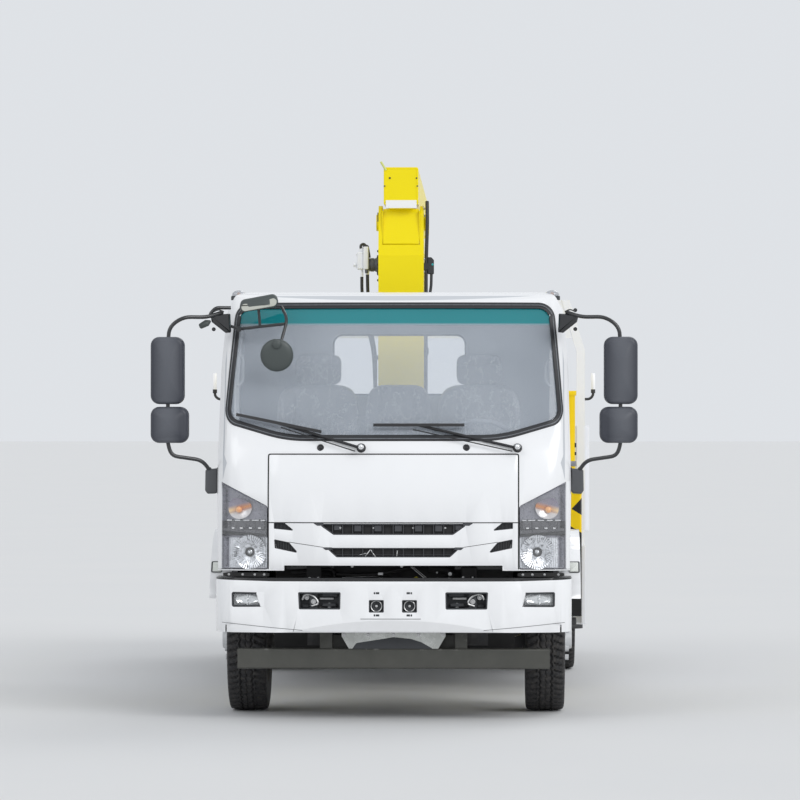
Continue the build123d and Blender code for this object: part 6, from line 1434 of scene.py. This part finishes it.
# Pipes and hoses: radius, bend and the points that each passes.
PIPES = [
    (0.0085, 0.02, (-0.252, 2.330, 2.790), (-0.258, 2.330, 2.840), (-0.235, 2.345, 2.850), (-0.215, 2.350, 2.815),
     (-0.214, 2.350, 2.765)),
    (0.0080, 0.02, (-0.236, 2.320, 2.822), (-0.236, 2.310, 2.835), (-0.213, 2.305, 2.835), (-0.200, 2.310, 2.760)),
    (0.0100, 0.12, (-0.249, 2.320, 2.640), (-0.249, 2.320, 2.560), (-0.235, 2.330, 2.380), (-0.178, 2.330, 2.200),
     (-0.164, 2.330, 1.900), (-0.164, 2.330, 1.480)),
    (0.0105, 0.12, (-0.214, 2.320, 2.670), (-0.212, 2.320, 2.540), (-0.190, 2.350, 2.300), (-0.164, 2.360, 2.150),
     (-0.164, 2.360, 1.900), (-0.164, 2.360, 1.480))]
pipes = [tube(radius, *points, bend=bend) for radius, bend, *points in PIPES]
for z in (1.600, 1.900, 2.120):
    pipes.append(block((-0.178, -0.1425), (2.312, 2.378), (z, z + 0.026), 0.004))
piece("winch_pipes", pipes, black_rubber, "column")
bracket = [slab(rounded([(0.166, 2.652, 0.006), (0.206, 2.652, 0.006), (0.206, 2.740, 0.006), (0.190, 2.758, 0.010),
                         (0.166, 2.758, 0.006)]), -NOSE_Y - 2.236, -NOSE_Y - 2.196, straight_face, 0.004),
           tube(0.009, (0.190, 2.215, 2.654), (0.188, 2.215, 2.560), (0.166, 2.206, 2.480), (0.165, 2.206, 2.300),
                bend=0.06)]
piece("hose_bracket", bracket, tube_black, "column")
spot_teal = plain("spot_teal", (0.02, 0.36, 0.38), 0.3, 0.25, 0.1, 60, 2)
piece("valve_cap", [turned([(0, 0.0), (0, 0.0075), (0.004, 0.007), (0.006, 0.004), (0.006, 0.0)],
                           (0.197, NOSE_Y + 2.196, 2.712), AHEAD, 16)], spot_teal, "column")

# Control banks: a row of levers with round black knobs on each side of the crane's base.
levers, knobs, rails = [], [], []
for side in (1, -1):
    for index in range(5):
        x = side * (0.665 + index * 0.038)
        levers.append(tube(0.005, (x, 2.380, 1.165), (x, 2.368, 1.285)))
        knobs.append(turned([(0, 0.0), (0, 0.007), (0.008, 0.014), (0.020, 0.016), (0.030, 0.012), (0.034, 0.0)],
                            (x, NOSE_Y + 2.369, 1.280), (0, -0.1, 1), 18))
    rails.append(tube(0.008, (side * 0.635, 2.330, 1.165), (side * 0.635, 2.330, 1.270), (side * 0.845, 2.330, 1.270),
                      (side * 0.845, 2.330, 1.165), bend=0.03))
piece("control_levers", levers, bare_steel, "chassis")
piece("control_knobs", knobs, dark_plastic, "chassis")
piece("control_guards", rails, crane_yellow, "chassis")

# Outriggers: each leg housing wears yellow and black chevrons above and black paint below, under
# a yellow jack tube with a grey collar; the jack's chromed rod ends in a dark flange and foot.
LEG_X = 1.036
hazard = painted("hazard", (0.93, 0.640, 0.003), 0.34, 0.02, 0.0003, 0.1, Specular_IOR_Level=0.2)
from_leg = (hazard.beside - LEG_X).size()
from_tube = from_leg - 0.030
height = hazard.z - 1.183
bars = from_tube.above(0.0) * (height + from_tube * 0.6).above(0.0) * (height - from_tube * 1.07).below(0.0)
low_part = (hazard.z + hazard.beside * 0.6).below(1.7115)
marking = (bars + low_part).held() * from_leg.below(0.0955) * hazard.z.below(1.280)
hazard.feed(Base_Color=hazard.mix(hazard.colour_so_far(), (0.018, 0.018, 0.019), marking))
dress(hazard, "outrigger_left", "outrigger_right", soften=0.005)
jack_steel = Finish("jack_steel", (0.70, 0.71, 0.72), 0.2, Metallic=1.0)
foot = jack_steel.z.below(0.505)
jack_steel.feed(Base_Color=jack_steel.mix((0.74, 0.75, 0.76), (0.040, 0.040, 0.042), foot), Metallic=1 - foot * 0.8,
                Roughness=0.12 + foot * 0.35 + jack_steel.noise(40, 3) * 0.08)
dress(jack_steel, "jack_left", "jack_right", soften=0.003)
COLLAR = [(0, 0.054), (0, 0.061), (0.004, 0.063), (0.028, 0.063), (0.032, 0.061), (0.032, 0.054)]
for side, sign, mid in (("left", 1, 2.3335), ("right", -1, 2.4665)):
    body = f"outrigger_{side}"
    collar = [turned(COLLAR, (sign * LEG_X, NOSE_Y + mid, 1.450), UP, 40)]
    collar += [pin((sign * LEG_X, NOSE_Y + mid - 0.054, z), AHEAD, 0.012, 0.018, 0.002, 6) for z in (1.560, 1.860)]
    ports = [block((sign * 1.083, sign * 1.098), (mid - 0.020, mid + 0.012), (z, z + rise), 0.003)
             for z, rise in ((1.568, 0.028), (1.519, 0.020))]
    rim = rect(sign * 0.940, NOSE_Y + mid - 0.087, sign * 1.132, NOSE_Y + mid + 0.087, 0.012)
    piece(f"jack_ports_{side}", ports, tube_black, body)
    piece(f"jack_collar_{side}", collar, lamp_grey, body)
    piece(f"leg_rim_{side}", [frame_slab(rim, 0.003, 1.276, 1.284, facing_up, 0.0008)], crane_yellow, body)

# Cargo bed: folded sheet steel in white paint. Boards hang on hinge barrels along the sill and are
# held at their tops by latches on the posts; the deck is tread plate.
bed_white = painted("bed_white", (0.92, 0.93, 0.965), 0.30, 0.02, 0.0004, 0.3)
dress(bed_white, "headboard", "dropside_left", "dropside_right", "tailgate", "side_guards", soften=0.003)
deck_white = painted("deck_white", (0.80, 0.81, 0.81), 0.4, 0.25, 0.0)
deck_mask = deck_white.z.above(1.0385)
plate_x = (deck_white.x * 14).wrap(1.0)
plate_y = (deck_white.y * 14).wrap(1.0)
tread = ((plate_x - 0.5).size().below(0.30)) * ((plate_y - 0.5).size().below(0.09)) * deck_mask
deck_white.bump(tread + deck_white.noise(200, 2) * 0.1, 0.003, 0.8)
deck_white.feed(Roughness=0.34 + tread * 0.1 + deck_white.noise(20, 3) * 0.12)
dress(deck_white, "bed_floor", soften=0.002)
BAYS = np.linspace(3.094, 7.906, 10)
BARREL = [(-0.030, 0.0), (-0.030, 0.009), (0.030, 0.009), (0.030, 0.0)]
for side, sign in (("left", 1), ("right", -1)):
    catches, hinges = [], []
    for s in (BAYS[3], BAYS[6], BAYS[9] - 0.030):
        catches.append(block((sign * 1.196, sign * 1.204), (s - 0.030, s + 0.030), (1.560, 1.660), 0.006))
        catches.append(tube(0.008, (sign * 1.206, s, 1.645), (sign * 1.216, s, 1.600), (sign * 1.212, s, 1.500),
                            bend=0.02))
        for shift in (-0.018, 0.018):
            catches += bolt((sign * 1.204, NOSE_Y + s + shift, 1.575), (sign, 0, 0), 0.008)
    for s in BAYS[1:-1:2]:
        hinges.append(block((sign * 1.192, sign * 1.201), (s - 0.022, s + 0.022), (1.030, 1.120), 0.004))
        hinges.append(turned(BARREL, (sign * 1.200, NOSE_Y + s, 1.026), (0, 1, 0), 20))
    piece(f"side_catches_{side}", catches + hinges, galvanised, f"dropside_{side}")
tail = []
for x in (-0.90, -0.30, 0.30, 0.90):
    tail.append(turned(BARREL, (x, NOSE_Y + 7.953, 1.026), (1, 0, 0), 20))
for x in (-1.06, 1.06):
    tail.append(block((x - 0.04, x + 0.04), (7.949, 7.957), (1.560, 1.650), 0.004))
    tail.append(tube(0.008, (x, 7.960, 1.640), (x, 7.968, 1.600), (x, 7.966, 1.500), bend=0.02))
piece("tail_catches", tail, galvanised, "tailgate")
ends = [block((sign * 1.139, sign * 1.167), (2.752, 2.761), (0.440, 0.936), 0.003) for sign in (1, -1)]
piece("guard_ends", ends, bed_white, "chassis")

# Outline lamps on the headboard's posts, each a white capsule on a black stalk; rear lamps in
# three colours on the beam; rubber mudguards and a blank rear plate between the lamps.
CAPSULE = [(-0.060, 0.0), (-0.060, 0.010), (-0.056, 0.0135), (0.056, 0.0135), (0.060, 0.010), (0.060, 0.0)]
SOCKET = [(-0.010, 0.0), (-0.010, 0.014), (0.014, 0.014), (0.016, 0.0)]
STALK = [(1.160, 3.046, 1.876), (1.200, 3.046, 1.878), (1.221, 3.046, 1.900), (1.221, 3.046, 1.930)]
capsules, stalks = [], []
for sign in (1, -1):
    capsules.append(turned(CAPSULE, (sign * 1.221, NOSE_Y + 3.046, 1.984), UP, 24))
    stalks.append(tube(0.0085, *np.array(STALK) * (sign, 1, 1), bend=0.022))
    stalks.append(turned(SOCKET, (sign * 1.221, NOSE_Y + 3.046, 1.926), UP, 24))
capsule_white = Finish("capsule_white", (0.90, 0.90, 0.90), 0.3, Emission_Color=(1, 1, 1, 1), Emission_Strength=0.10)
capsule_white.feed(Base_Color=capsule_white.cloudy((0.84, 0.84, 0.84), (0.93, 0.93, 0.93), 20, 3))
marker = piece("outline_lamps", capsules, capsule_white, "chassis", 50)
piece("outline_stalks", stalks, black_rubber, "chassis")
rear_red = Finish("rear_lens", (0.55, 0.02, 0.02), 0.12, Coat_Weight=1.0)
along = rear_red.beside
rear_red.feed(Base_Color=rear_red.mix(rear_red.mix((0.60, 0.015, 0.015), (0.80, 0.25, 0.02), along.above(0.985)),
                                      (0.80, 0.82, 0.84), along.below(0.850)))
rear_red.bump((rear_red.x * 120).wrap(1.0).rise(0.3, 0.7) + (rear_red.z * 120).wrap(1.0).rise(0.3, 0.7), 0.001, 0.5)


def rear_place(x, z, out):
    """Upright face at the back of the truck, out behind it."""
    return np.stack([x, NOSE_Y + 7.835 + out, z + 0 * x], -1)


housings, glasses = [], []
for sign in (1, -1):
    shape = rect(sign * 0.762, 0.543, sign * 1.078, 0.668, 0.012)
    housings.append(slab(shape, -0.080, -0.012, rear_place, 0.004))
    glasses.append(slab(inset(shape, 0.006), -0.012, -0.001, rear_place, 0.004))
rear = piece("rear_lamp_cases", housings, dark_plastic, "chassis")
piece("rear_lamp_lenses", glasses, rear_red, "chassis", 50)
for made in (marker, rear):
    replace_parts(made, "chassis_lamps")
piece("rear_plate", [slab(rect(-0.220, 0.552, 0.220, 0.692, 0.006), -0.030, -0.026,
                          rear_place)], band_white, "chassis")
hangers = [block((x - 0.015, x + 0.015), (7.800, 7.806), (0.530, 0.690), 0.002) for x in (-0.15, 0.15)]
piece("rear_plate_arms", hangers, chassis_black, "chassis")
dress(black_rubber, "mudguards")
